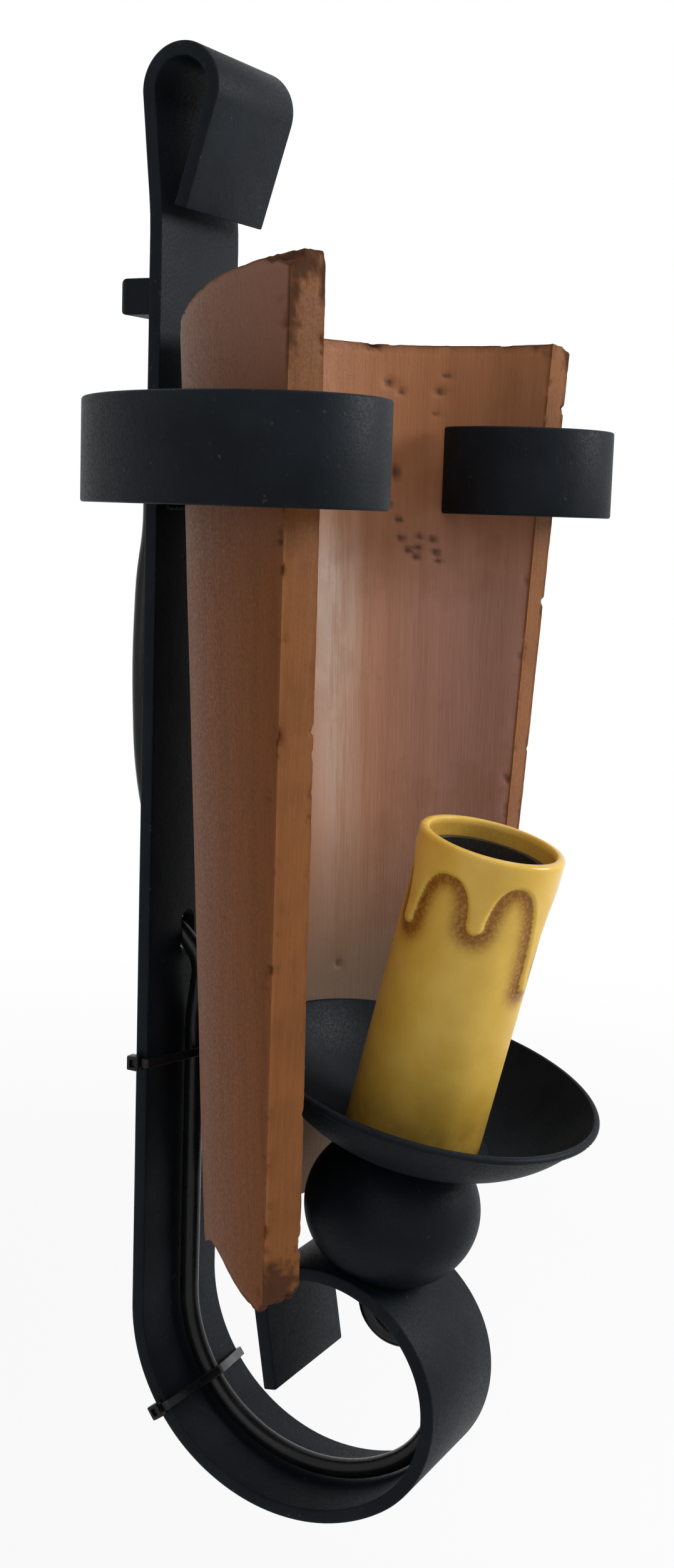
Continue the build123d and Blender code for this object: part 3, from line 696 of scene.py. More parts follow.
class Recipe:
    """A Geometry Nodes tree, and the call that runs it on a line and keeps the plain mesh."""

    inputs: Sequence[tuple] = ()

    def __init__(self, name: str) -> None:
        """Build the tree with its geometry, size and material inputs.

        Args:
            name: the tree's name.
        """
        geometry = "NodeSocketGeometry"
        sockets = [("Geometry", geometry, None), *self.inputs, ("Material", "NodeSocketMaterial", None)]
        self.tree, self.graph, self.source, sink = new_group(
            name, "GeometryNodeTree", sockets, (("Geometry", geometry),)
        )
        self.tree.is_modifier = True
        shape = self.shape()
        whole = self.graph.add("GeometryNodeRealizeInstances", {"Geometry": shape}).outputs["Geometry"]
        inputs = {"Geometry": whole, "Material": self.source.outputs["Material"]}
        dressed = self.graph.add("GeometryNodeSetMaterial", inputs).outputs["Geometry"]
        self.tree.links.new(dressed, sink.inputs["Geometry"])

    def shape(self) -> bpy.types.NodeSocket:
        """Return the geometry socket of the tree's own shape."""
        raise NotImplementedError

    def run(self, line: bpy.types.Mesh, material: bpy.types.Material, **values: float) -> bpy.types.Mesh:
        """Return the plain mesh that the tree makes.

        Args:
            line: the mesh that the tree starts from.
            material: the material that it sets.
            values: the tree's inputs, with underscores for spaces in their names.

        Returns:
            A new mesh.
        """
        carrier = bpy.data.objects.new(line.name, line)
        bpy.context.scene.collection.objects.link(carrier)
        modifier = carrier.modifiers.new("recipe", "NODES")
        modifier.node_group = self.tree
        sockets = self.tree.interface.items_tree
        named = {item.name: item.identifier for item in sockets if item.in_out == "INPUT"}
        for name, value in values.items():
            modifier[named[name.replace("_", " ")]] = value
        modifier[named["Material"]] = material
        graph = bpy.context.evaluated_depsgraph_get()
        mesh = bpy.data.meshes.new_from_object(carrier.evaluated_get(graph))
        carrier.modifiers.clear()
        bpy.data.objects.remove(carrier)
        return mesh


class FlatBarRecipe(Recipe):
    """Flat bar along a line: a rectangle with rounded edges, a little uneven along its length."""

    inputs = (
        ("Side", "NodeSocketFloat", 0.04),
        ("Height", "NodeSocketFloat", 0.004),
        ("Edge Round", "NodeSocketFloat", 0.0006),
        ("Uneven", "NodeSocketFloat", 0.0001),
    )
    corner_steps = 3
    dent_scale = 60.0

    def shape(self) -> bpy.types.NodeSocket:
        """Return the bar swept along the line and pressed in by noise.

        Returns:
            The geometry's socket.
        """
        add = self.graph.add
        size = self.source.outputs
        curve = add("GeometryNodeMeshToCurve", {"Mesh": size["Geometry"]}).outputs["Curve"]
        box = {"Width": size["Side"], "Height": size["Height"]}
        section = add("GeometryNodeCurvePrimitiveQuadrilateral", box).outputs["Curve"]
        corner = {"Curve": section, "Count": self.corner_steps, "Radius": size["Edge Round"]}
        section = add("GeometryNodeFilletCurve", corner, mode="POLY").outputs["Curve"]
        sweep = {"Curve": curve, "Profile Curve": section, "Fill Caps": True}
        bar = add("GeometryNodeCurveToMesh", sweep).outputs["Mesh"]
        dents = add("ShaderNodeTexNoise", {"Scale": self.dent_scale, "Detail": 2.0}).outputs["Fac"]
        push = self.graph.math("MULTIPLY", self.graph.math("MULTIPLY", dents, size["Uneven"]), -1.0)
        normal = add("GeometryNodeInputNormal").outputs["Normal"]
        offset = add("ShaderNodeVectorMath", {0: normal, "Scale": push}, operation="SCALE")
        pressed = {"Geometry": bar, "Offset": offset.outputs["Vector"]}
        return add("GeometryNodeSetPosition", pressed).outputs["Geometry"]


class WeldRecipe(Recipe):
    """Weld bead along a line: overlapping drops of uneven size."""

    inputs = (
        ("Drop", "NodeSocketFloat", 0.0012),
        ("Pitch", "NodeSocketFloat", 0.0013),
    )
    drop_rounds = 3
    least_drop = 0.78
    seed = 4

    def shape(self) -> bpy.types.NodeSocket:
        """Return the drops along the line.

        Returns:
            The geometry's socket.
        """
        add = self.graph.add
        size = self.source.outputs
        curve = add("GeometryNodeMeshToCurve", {"Mesh": size["Geometry"]}).outputs["Curve"]
        spaced = add("GeometryNodeResampleCurve", {"Curve": curve, "Length": size["Pitch"]}, mode="LENGTH")
        ball = {"Radius": size["Drop"], "Subdivisions": self.drop_rounds}
        drop = add("GeometryNodeMeshIcoSphere", ball).outputs["Mesh"]
        sizes = {2: self.least_drop, 3: 1.0, "Seed": self.seed}
        uneven = add("FunctionNodeRandomValue", data_type="FLOAT", inputs=sizes)
        drops = {"Points": spaced.outputs["Curve"], "Instance": drop, "Scale": uneven.outputs[1]}
        return add("GeometryNodeInstanceOnPoints", drops).outputs["Instances"]


class ThreadRecipe(Recipe):
    """Screw thread: a round ridge along a helix."""

    inputs = (
        ("Turns", "NodeSocketFloat", 6.0),
        ("Radius", "NodeSocketFloat", 0.013),
        ("Length", "NodeSocketFloat", 0.02),
        ("Ridge", "NodeSocketFloat", 0.0004),
    )
    steps_a_turn = 64
    ridge_sides = 10

    def shape(self) -> bpy.types.NodeSocket:
        """Return the ridge round the Z axis.

        Returns:
            The geometry's socket.
        """
        add = self.graph.add
        size = self.source.outputs
        turn = {"Resolution": self.steps_a_turn, "Rotations": size["Turns"], "Start Radius": size["Radius"]}
        turn |= {"End Radius": size["Radius"], "Height": size["Length"]}
        helix = add("GeometryNodeCurveSpiral", turn).outputs["Curve"]
        circle = {"Resolution": self.ridge_sides, "Radius": size["Ridge"]}
        ridge = add("GeometryNodeCurvePrimitiveCircle", circle).outputs["Curve"]
        sweep = {"Curve": helix, "Profile Curve": ridge, "Fill Caps": True}
        return add("GeometryNodeCurveToMesh", sweep).outputs["Mesh"]


def smooth(mesh: bpy.types.Mesh, angle: float = 40.0) -> bpy.types.Mesh:
    """Shade a mesh smooth, apart from edges sharper than an angle, and return it.

    Args:
        mesh: the mesh to shade.
        angle: the angle in degrees.

    Returns:
        The same mesh.
    """
    mesh.shade_smooth()
    mesh.set_sharp_from_angle(angle=math.radians(angle))
    return mesh


def ease_ends(mesh: bpy.types.Mesh, width: float) -> None:
    """Take the sharpness off a bar's cut ends.

    Args:
        mesh: the bar's mesh.
        width: the bevel's width in metres.
    """
    work = bmesh.new()
    work.from_mesh(mesh)
    caps = [f for f in work.faces if len(f.verts) > 4]
    edges = list({e for f in caps for e in f.edges})
    bmesh.ops.bevel(work, geom=edges, offset=width, clamp_overlap=True, **EASED)
    work.to_mesh(mesh)
    work.free()


def mark_edges(mesh: bpy.types.Mesh, low: float = 0.12, high: float = 0.4) -> None:
    """Store how sharply a mesh turns at each vertex, as the attribute that worn edges read.

    Args:
        mesh: the mesh to mark.
        low: the turn in radians that isn't worn.
        high: the turn that is worn in full.
    """
    work = bmesh.new()
    work.from_mesh(mesh)
    turn = [max((e.calc_face_angle(0.0) for e in v.link_edges), default=0.0) for v in work.verts]
    work.free()
    share = np.clip((np.array(turn) - low) / (high - low), 0.0, 1.0)
    store(mesh, "edge", share)


def store(mesh: bpy.types.Mesh, name: str, values: np.ndarray) -> None:
    """Store one number per vertex as a mesh attribute."""
    layer = mesh.attributes.new(name, "FLOAT", "POINT")
    layer.data.foreach_set("value", np.asarray(values, np.float32))


def cut_out(mesh: bpy.types.Mesh, cutters: Sequence[bpy.types.Mesh]) -> bpy.types.Mesh:
    """Return a mesh with closed shapes cut out of it.

    Args:
        mesh: the mesh to cut.
        cutters: the closed shapes.

    Returns:
        The new mesh.
    """
    bar = bpy.data.objects.new("cut_bar", mesh)
    bpy.context.scene.collection.objects.link(bar)
    tools = []
    for shape in cutters:
        tool = bpy.data.objects.new("cutter", shape)
        bpy.context.scene.collection.objects.link(tool)
        modifier = bar.modifiers.new("cut", "BOOLEAN")
        modifier.operation = "DIFFERENCE"
        modifier.solver = "EXACT"
        modifier.object = tool
        tools.append(tool)
    graph = bpy.context.evaluated_depsgraph_get()
    result = bpy.data.meshes.new_from_object(bar.evaluated_get(graph))
    bar.modifiers.clear()
    for used in [bar, *tools]:
        bpy.data.objects.remove(used)
    return result


def prism(outline: Sequence[Vector], place: Matrix, depth: float) -> bpy.types.Mesh:
    """Return a closed prism of a flat outline, in millimetres, half its depth each side of a place.

    Args:
        outline: the outline's points.
        place: where its middle lies, in millimetres.
        depth: its depth.

    Returns:
        The new mesh, in metres.
    """
    work = bmesh.new()
    verts = [work.verts.new((p[0], p[1], -depth / 2)) for p in outline]
    face = work.faces.new(verts)
    grown = bmesh.ops.extrude_face_region(work, geom=[face])
    moved = [g for g in grown["geom"] if isinstance(g, bmesh.types.BMVert)]
    bmesh.ops.translate(work, verts=moved, vec=(0, 0, depth))
    bmesh.ops.recalc_face_normals(work, faces=work.faces)
    mesh = bpy.data.meshes.new("prism")
    work.to_mesh(mesh)
    work.free()
    mesh.transform(Matrix.Scale(MM, 4) @ place)
    return mesh


def join_meshes(meshes: Sequence[bpy.types.Mesh]) -> bpy.types.Mesh:
    """Return one smooth mesh of several.

    Args:
        meshes: the meshes to join.

    Returns:
        The new mesh.
    """
    work = bmesh.new()
    for mesh in meshes:
        work.from_mesh(mesh)
    joined = bpy.data.meshes.new(meshes[0].name)
    work.to_mesh(joined)
    work.free()
    return smooth(joined, 50.0)


def in_metres(place: Matrix) -> Matrix:
    """Return the matrix for a mesh in metres of a place in millimetres."""
    return Matrix.Translation(place.translation * MM) @ place.to_3x3().to_4x4()


def ramp(values: np.ndarray, start: float, span: float, least: float = 0.0, most: float = 1.0) -> np.ndarray:
    """Return how far values have come along a span, held between two shares."""
    return np.clip((values - start) / span, least, most)


def layered_noise(spot: Vector, layers: Sequence[tuple]) -> float:
    """Return the sum of noises at a place, each layer given as its size and its strength."""
    return sum(strength * noise.noise(spot / size) for size, strength in layers)


class CandleAxis:
    """The leaning axis of ball, pan, holder and candle, read from the frame."""

    SOCKET_MOUTH = 111.7

    def __init__(self) -> None:
        """Find the axis from the candle's joint and the bulb's mount."""
        joint = next(j for j in frame["joints"] if j["name"] == "candle_lift")
        mount = next(m for m in frame["record"]["mounts"] if m["name"] == "bulb_socket")
        self.up = Vector(joint["axis"]).normalized()
        self.seat = Vector(mount["pos_m"]) / MM - self.up * self.SOCKET_MOUTH
        across = Vector((1, 0, 0))
        columns = (across, self.up.cross(across), self.up)
        turn = Matrix(columns).transposed().to_4x4()
        self.matrix = Matrix.Translation(self.seat) @ turn

    def place(self, mesh: bpy.types.Mesh, shift: float = 0.0) -> bpy.types.Mesh:
        """Move a mesh in metres from the origin to a height on the axis, and return it."""
        mesh.transform(in_metres(self.matrix) @ Matrix.Translation((0, 0, shift * MM)))
        return mesh


@dataclass
class Weld:
    """A pair of level weld beads, above and below a plate: their length, drop radius and pitch."""

    length: float
    drop: float
    pitch: float
    stand_off: float = 0.55

    def lift(self) -> float:
        """Return how far the middle of a drop stands off the corner that it fills."""
        return self.drop * self.stand_off

    def beads(
        self, welds: WeldRecipe, iron: bpy.types.Material, middle: Vector, half_h: float
    ) -> bpy.types.Mesh:
        """Return the mesh of both beads.

        Args:
            welds: the weld bead's recipe.
            iron: the beads' material.
            middle: the pair's middle in millimetres.
            half_h: half the plate's height.

        Returns:
            The new mesh.
        """
        rows = []
        for side in (-1, 1):
            z = middle.z + side * (half_h + self.lift())
            ends = [Vector((end * self.length / 2, middle.y, z)) for end in (-1, 1)]
            sizes = {"Drop": self.drop * MM, "Pitch": self.pitch * MM}
            rows.append(welds.run(line_mesh("weld_line", ends), iron, **sizes))
        return join_meshes(rows)


@dataclass
class Strap:
    """Flat bar with its loop, scroll and tongue, and the hanger and welds behind it."""

    width: float = 40.0
    thickness: float = 4.0
    edge_round: float = 0.7
    uneven: float = 0.12
    middle_y: float = -12.0
    upper: Moves = ((16.4,), (100.0, -5.5), (25.9,), (9.8, 203.5), (28.4,))
    lower: Moves = ((282.3,), (49.5, -125.0), (34.0, -170.0), (7.0, -74.6), (26.0,))
    slot_z: float = -176.3
    slot_w: float = 7.0
    slot_h: float = 13.5
    slot_cut: float = 16.0
    tube_hole_r: float = 5.2
    tube_hole_cut: float = 20.0
    lug_half_h: float = 4.75
    weld: Weld = field(default_factory=lambda: Weld(33.0, 1.0, 1.2))

    def build(self, workshop: Workshop, bars: FlatBarRecipe, welds: WeldRecipe, axis: CandleAxis) -> None:
        """Make the bar and its welds, and dress the lug.

        Args:
            workshop: where pieces are finished and dressed.
            bars: the flat bar's recipe.
            welds: the weld bead's recipe.
            axis: the candle's axis.
        """
        start = (self.middle_y, 0.0)
        line = walk(start, 90.0, self.upper)[::-1] + walk(start, -90.0, self.lower)[1:]
        path = line_mesh("strap_line", [Vector((0, p.x, p.y)) for p in line])
        iron = workshop.finishes[Slot.IRON]
        sizes = {"Side": self.width * MM, "Height": self.thickness * MM}
        bar = bars.run(path, iron, Edge_Round=self.edge_round * MM, Uneven=self.uneven * MM, **sizes)
        ease_ends(bar, END_EASE * MM)
        bar = smooth(cut_out(bar, [self.slot(), self.tube_hole(axis)]))
        mark_edges(bar)
        workshop.piece("flat_bar", bar, Body.LAMP, Slot.IRON, "back_strap")
        workshop.dress("hanger_lug", Slot.IRON)
        back = Vector((0, self.middle_y + self.thickness / 2 + self.weld.lift(), 0))
        beads = self.weld.beads(welds, iron, back, self.lug_half_h)
        workshop.piece("lug_weld_beads", beads, Body.LAMP, Slot.IRON, "lug_welds")

    def slot(self) -> bpy.types.Mesh:
        """Return the cutter of the cable's slot.

        Returns:
            The new mesh.
        """
        radius = self.slot_w / 2
        reach = self.slot_h / 2 - radius
        top = [Vector((0, reach)) + direction(a) * radius for a in range(0, 181, ARC_STEP)]
        outline = top + [Vector((-p.x, -p.y)) for p in top]
        upright = Matrix.Rotation(math.radians(90), 4, "X")
        place = Matrix.Translation((0, self.middle_y, self.slot_z)) @ upright
        return prism(outline, place, self.slot_cut)

    def tube_hole(self, axis: CandleAxis) -> bpy.types.Mesh:
        """Return the cutter of the threaded tube's hole."""
        outline = [direction(a) * self.tube_hole_r for a in range(0, 360, ARC_STEP)]
        return prism(outline, axis.matrix, self.tube_hole_cut)


@dataclass
class Clasp:
    """Flat iron strip across the bar, curled round the tile's wings, with its welds."""

    width: float = 25.0
    thickness: float = 4.0
    edge_round: float = 0.7
    uneven: float = 0.10
    middle_y: float = -16.0
    middle_z: float = -42.2
    moves: Moves = ((34.484,), (63.0, 90.0), (2.5,), (24.0, 223.0))
    weld: Weld = field(default_factory=lambda: Weld(30.0, 1.05, 1.1))

    def build(self, workshop: Workshop, bars: FlatBarRecipe, welds: WeldRecipe) -> None:
        """Make the strip and its welds.

        Args:
            workshop: where pieces are finished and dressed.
            bars: the flat bar's recipe.
            welds: the weld bead's recipe.
        """
        half = walk((0.0, self.middle_y), 180.0, self.moves)
        other = [Vector((-p.x, p.y)) for p in half]
        line = [Vector((p.x, p.y, self.middle_z)) for p in half[::-1] + other[1:]]
        iron = workshop.finishes[Slot.IRON]
        sizes = {"Side": self.thickness * MM, "Height": self.width * MM}
        rounding = {"Edge_Round": self.edge_round * MM, "Uneven": self.uneven * MM}
        strip = bars.run(line_mesh("clasp_line", line), iron, **sizes, **rounding)
        ease_ends(strip, END_EASE * MM)
        smooth(strip)
        mark_edges(strip)
        workshop.piece("clasp_strip", strip, Body.LAMP, Slot.IRON, "tile_clasp")
        front = Vector((0, self.middle_y + self.thickness / 2 - self.weld.lift(), self.middle_z))
        beads = self.weld.beads(welds, iron, front, self.width / 2)
        workshop.piece("clasp_weld_beads", beads, Body.LAMP, Slot.IRON, "clasp_welds")


@dataclass
class Break:
    """A broken corner: on one wing, everything past a plane is taken off, roughly."""

    point: tuple
    normal: tuple
    rough: float = 0.9
    margin: float = 1.5
    grain: Sequence[tuple] = ((3.0, 1.0), (1.2, 0.5))
    darkness: float = 0.85


@dataclass
class Stain:
    """A dark burnt patch at an edge: its middle, how far it reaches and how tall it is for its width."""

    middle: tuple
    reach: float
    tall: float = 1.0
    core: float = 1.25
    margin: float = 0.4
    ragged: Sequence[tuple] = ((2.6, 0.45), (1.1, 0.30))
    contrast: float = 1.8
    darkest: float = 0.95

    def at(self, places: np.ndarray) -> np.ndarray:
        """Return how dark the patch is at each place, with a ragged edge.

        Args:
            places: points on the tile in millimetres, one row each.

        Returns:
            A share for each place.
        """
        away = (places - np.array(self.middle)) / (self.reach, self.reach, self.reach * self.tall)
        share = self.core - np.linalg.norm(away, axis=1)
        for i in np.nonzero(share > -self.margin)[0]:
            share[i] += layered_noise(Vector(places[i]), self.ragged)
        return np.clip(share * self.contrast, 0, self.darkest)


@dataclass
class Pit:
    """A pit in the hollow side: its place across and up, its radius, its depth and how long it is."""

    across: float
    height: float
    radius: float
    depth: float
    long: float = 1.0


@dataclass
class Bite:
    """A shallow bite out of one end, or below zero a rise: its middle across, half width and depth."""

    middle: float
    half_w: float
    depth: float

    def at(self, u: np.ndarray) -> np.ndarray:
        """Return how deep the bite is across the arch."""
        return self.depth * np.exp(-(((u - self.middle) / self.half_w) ** 2))


@dataclass
class TileEnd:
    """One end of the tile: its half width, its depth and the Y of its front."""

    half_w: float
    depth: float
    front_y: float

    def arc(self) -> tuple[float, float, float]:
        """Return the outer radius, the centre's Y and the half angle of the end's section."""
        radius = (self.half_w**2 + self.depth**2) / (2 * self.depth)
        return radius, self.front_y + self.depth - radius, math.asin(self.half_w / radius)


@dataclass
class RoofTile:
    """Tapered half-barrel tile with an askew top, uneven faces, chipped edges, broken corners and pits."""

    bottom: float = -252.4
    length: float = 253.0
    thickness: float = 12.0
    lower: TileEnd = field(default_factory=lambda: TileEnd(68.5, 46.5, -81.0))
    upper: TileEnd = field(default_factory=lambda: TileEnd(85.5, 67.2, -90.4))
    top_drop_right: float = 5.5
    top_drop_back: float = 5.2
    top_bite: Bite = field(default_factory=lambda: Bite(-0.45, 0.26, 5.0))
    bottom_bite: Bite = field(default_factory=lambda: Bite(-0.68, 0.19, 9.0))
    top_horn: Bite = field(default_factory=lambda: Bite(-1.02, 0.07, -2.2))
    right_bevel: float = 0.037
    across: int = 150
    through: int = 14
    along: int = 250
    half_arch: float = 84.0
    skin: float = 0.02
    side_face: float = 0.999
    end_face: float = 1e-6
    waves: Sequence[tuple] = ((38.0, 0.35), (7.0, 0.05))
    nibbles: Sequence[tuple] = ((5.0, 1.0), (1.7, 0.7))
    edge_wear: float = 0.28
    edge_nibble: float = 0.12
    edge_fall: float = 0.7
    chip_from: float = 0.42
    chip_reach: float = 3.0
    chip_depth: float = 1.8
    chip_dark: float = 3.0
    dark_edge: float = 0.45
    dark_nibble: float = 0.5
    dark_outer_wall: float = 0.4
    dark_inner_wall: float = 0.7
    pit_contrast: float = 1.3
    pit_from: float = 0.35
    pit_dark: float = 0.85
    # Ramps of the colour masks, by height or by distance from the middle: start, span, least and most
    # The pale bands are painted sheen, and their fades towards the bottom are painted shadow of the candle
    pale_candle_shadow: tuple = (-195.0, 65.0, 0.2)
    pale_down: tuple = (46.0, 26.0, 0.05)
    pale_lower_shade: tuple = (-172.0, 90.0, 0.62)
    rose_side: tuple = (30.0, 26.0)
    rose_down: tuple = (40.0, 40.0)
    candle_shadow_down: tuple = (140.0, 55.0, 0.0, 0.9)
    upper_grey_rise: tuple = (-75.0, 75.0)
    pale_x: float = 26.0
    pale_half_w: float = 9.0
    breaks: Sequence[Break] = (
        Break((-79.5, -91.8, 1.6), (-0.66, -0.05, 0.75), 0.9),
        Break((-79.0, -92.6, -3.0), (-0.20, -0.93, 0.30), 0.7),
        Break((-66.5, -80.0, -250.2), (-0.15, -0.72, -0.69), 1.2),
        Break((84.0, -89.6, -6.6), (0.30, -0.60, 0.74), 0.9),
    )
    stains: Sequence[Stain] = (
        Stain((-81.0, -91.5, 0.0), 5.0),
        Stain((-85.5, -90.5, -11.0), 3.8, 3.4),
        Stain((-74.0, -93.0, -4.0), 1.6, 3.5),
        Stain((85.0, -90.0, -7.0), 5.0),
        Stain((-66.0, -80.0, -250.0), 11.0, 1.1),
    )
    pits: Sequence[Pit] = (
        Pit(44.5, -18.0, 1.3, 1.0),
        Pit(47.5, -20.2, 1.0, 0.8),
        Pit(56.0, -19.7, 1.1, 0.8),
        Pit(57.5, -15.0, 0.8, 0.6),
        Pit(55.1, -25.8, 0.7, 0.5),
        Pit(45.9, -43.3, 1.3, 0.9, 2.2),
        Pit(44.2, -52.5, 1.0, 0.6),
        Pit(46.4, -56.8, 1.2, 0.9),
        Pit(46.8, -62.1, 1.2, 0.9),
        Pit(51.0, -61.4, 1.0, 0.7),
        Pit(53.8, -62.2, 1.1, 0.8),
        Pit(48.5, -65.5, 1.3, 1.0),
        Pit(50.7, -64.7, 1.1, 0.9),
        Pit(50.2, -67.4, 1.2, 0.9),
        Pit(54.4, -65.9, 1.2, 0.9),
        Pit(54.8, -68.4, 1.0, 0.8),
        Pit(27.0, -186.0, 1.0, 0.7),
        Pit(-38.0, -120.0, 1.1, 0.7),
        Pit(-30.0, -74.0, 1.2, 0.8),
    )

    def point(self, u: np.ndarray, w: np.ndarray, v: np.ndarray) -> np.ndarray:
        """Return places on the tile.

        Args:
            u: across the arch, from -1 at the left wing to 1 at the right.
            w: through the wall, from 0 outside to 1 inside.
            v: up the tile, from 0 to 1.

        Returns:
            Points in millimetres, one row each.
        """
        flats = []
        for end in (self.lower, self.upper):
            radius, middle, reach = end.arc()
            r = radius - w * self.thickness
            angle = u * reach * (1 - self.right_bevel * w * (u > 0))
            flats.append(np.stack((r * np.sin(angle), middle + r * np.cos(angle)), -1))
        right = (1 + flats[1][:, 0] / self.upper.half_w) / 2
        back = (flats[1][:, 1] - self.upper.front_y) / self.upper.depth
        drop = self.top_drop_right * right + self.top_drop_back * back
        drop += self.top_bite.at(u) + self.top_horn.at(u)
        rise = (v * (self.length - drop) + (1 - v) ** 2 * self.bottom_bite.at(u)) / self.length
        flat = flats[0] * (1 - rise)[:, None] + flats[1] * rise[:, None]
        return np.column_stack((flat, self.bottom + rise * self.length))

    def grid(self) -> tuple[np.ndarray, list[tuple[int, ...]]]:
        """Return the tile's closed grid: (u, w, v) of each vertex, and the faces.

        Returns:
            An array of vertices and a list of faces.
        """
        u_line = np.linspace(-1, 1, self.across)
        w_line = np.linspace(0, 1, self.through)
        ring = [(u, 0.0) for u in u_line] + [(1.0, w) for w in w_line[1:-1]]
        ring += [(u, 1.0) for u in u_line[::-1]] + [(-1.0, w) for w in w_line[-2:0:-1]]
        size = len(ring)
        spots = [(u, w, v) for v in np.linspace(0, 1, self.along) for u, w in ring]
        faces = []
        for row in range(self.along - 1):
            base = row * size
            for i in range(size):
                j = (i + 1) % size
                faces.append((base + i, base + j, base + size + j, base + size + i))
        for v, first in ((0.0, 0), (1.0, (self.along - 1) * size)):
            faces += self.cap(spots, first, size, v, u_line, w_line)
        return np.array(spots), faces

    def cap(self, spots: list, first: int, size: int, v: float, u_line: Any, w_line: Any) -> list:
        """Return the faces of one end, adding its inner vertices to the spots.

        Args:
            spots: the grid's vertices so far.
            first: the index of the ring's first vertex.
            size: how many vertices a ring has.
            v: the end's height, 0 or 1.
            u_line: the steps across the arch.
            w_line: the steps through the wall.

        Returns:
            The new faces.
        """
        index = {}
        for i in range(self.across):
            index[i, 0] = first + i
            index[i, self.through - 1] = first + self.across + self.through - 2 + (self.across - 1 - i)
        for k in range(1, self.through - 1):
            index[self.across - 1, k] = first + self.across + k - 1
            index[0, k] = first + size - k
            for i in range(1, self.across - 1):
                index[i, k] = len(spots)
                spots.append((u_line[i], w_line[k], v))
        faces = []
        for i in range(self.across - 1):
            for k in range(self.through - 1):
                quad = (index[i, k], index[i + 1, k], index[i + 1, k + 1], index[i, k + 1])
                faces.append(quad if v == 1.0 else quad[::-1])
        return faces

    def build(self, workshop: Workshop) -> None:
        """Make the tile's mesh with its masks.

        Args:
            workshop: where pieces are finished and dressed.
        """
        spots, faces = self.grid()
        u, w, v = spots.T
        places = self.point(u, w, v)
        mesh = bpy.data.meshes.new("tile")
        mesh.from_pydata((places * MM).tolist(), [], faces)
        work = bmesh.new()
        work.from_mesh(mesh)
        bmesh.ops.recalc_face_normals(work, faces=work.faces)
        work.to_mesh(mesh)
        work.free()
        normals = np.array([n.vector for n in mesh.vertex_normals])
        height = places[:, 2]
        end = (v < self.end_face) | (v > 1 - self.end_face)
        masks = {
            "inner": (w > 1 - self.skin) * (abs(u) < self.side_face) * 1.0,
            "pit": np.zeros(len(u)),
            "broken": np.zeros(len(u)),
            "cut": ((abs(u) > self.side_face) | end) * 1.0,
            "pale": self.pale(places),
            "rose": self.rose(places),
            # Painted shadow of the candle on the lower part
            "low": ramp(-height, *self.candle_shadow_down),
            "upper_grey": ramp(height, *self.upper_grey_rise) * (w < self.skin),
        }
        places = places - normals * self.wear(u, w, v, places, masks)[:, None]
        places = self.break_off(places, masks)
        mesh.vertices.foreach_set("co", (places * MM).astype(np.float32).ravel())
        mesh.update()
        for name, values in masks.items():
            store(mesh, name, values)
        workshop.piece("roof_tile_clay", smooth(mesh, 60.0), Body.TILE, Slot.TERRACOTTA, "roof_tile")

    def pale(self, places: np.ndarray) -> np.ndarray:
        """Return the mask of the pale bands of painted sheen down the hollow side, one each side of its middle,
        faded towards the bottom by painted shadow of the candle.

        Args:
            places: points on the tile in millimetres, one row each.

        Returns:
            A share for each place.
        """
        x, _, z = places.T
        band = np.exp(-(((abs(x) - self.pale_x) / self.pale_half_w) ** 2))
        # The fades towards the bottom, on this line and the next, are painted shadow of the candle
        rise = ramp(z, *self.pale_candle_shadow) * ramp(-z, *self.pale_down)
        return band * rise * ramp(z, *self.pale_lower_shade)

    def rose(self, places: np.ndarray) -> np.ndarray:
        """Return the mask of the pinker clay towards the wings and away from the top."""
        x, _, z = places.T
        return ramp(abs(x), *self.rose_side) * ramp(-z, *self.rose_down)

    def wear(self, u: Any, w: Any, v: Any, places: np.ndarray, masks: dict) -> np.ndarray:
        """Return how far each vertex is pressed in, and mark the pits and chips.

        Args:
            u: places across the arch.
            w: places through the wall.
            v: places up the tile.
            places: points on the tile in millimetres, one row each.
            masks: the tile's masks by name, of which some are marked here.

        Returns:
            Depths in millimetres.
        """
        side = (1 - abs(u)) * self.half_arch
        wall = np.minimum(w, 1 - w) * self.thickness
        ends = np.minimum(v, 1 - v) * self.length
        to_edge = np.sort(np.stack((side, wall, ends)), axis=0)[1]
        near = np.clip(1 - to_edge / self.chip_reach, 0, 1)
        right_outer = (u > 1 - self.skin) & (w < self.dark_outer_wall)
        top_inner = (v > 1 - self.skin) & (w > self.dark_inner_wall)
        dark = right_outer | top_inner
        depth = np.zeros(len(u))
        for i, place in enumerate(places):
            spot = Vector(place)
            depth[i] = sum(deep * (noise.noise(spot / size) + 1) / 2 for size, deep in self.waves)
            if near[i] > 0:
                nibble = layered_noise(spot, self.nibbles)
                chip = max(0.0, nibble - self.chip_from)
                worn = self.edge_wear + self.edge_nibble * nibble + self.chip_depth * chip
                depth[i] += near[i] ** self.edge_fall * worn
                masks["broken"][i] = min(1.0, near[i] * chip * self.chip_dark)
                if dark[i]:
                    masks["broken"][i] += near[i] * max(0.0, self.dark_edge + self.dark_nibble * nibble)
        hollow = masks["inner"] > 0.5
        for pit in self.pits:
            tall = (places[:, 2] - pit.height) / pit.long
            dip = np.exp(-((np.hypot(places[:, 0] - pit.across, tall) / pit.radius) ** 2)) * hollow
            depth += dip * pit.depth
            stain = np.clip(dip * self.pit_contrast - self.pit_from, 0, self.pit_dark)
            masks["pit"] = np.maximum(masks["pit"], stain)
        return depth

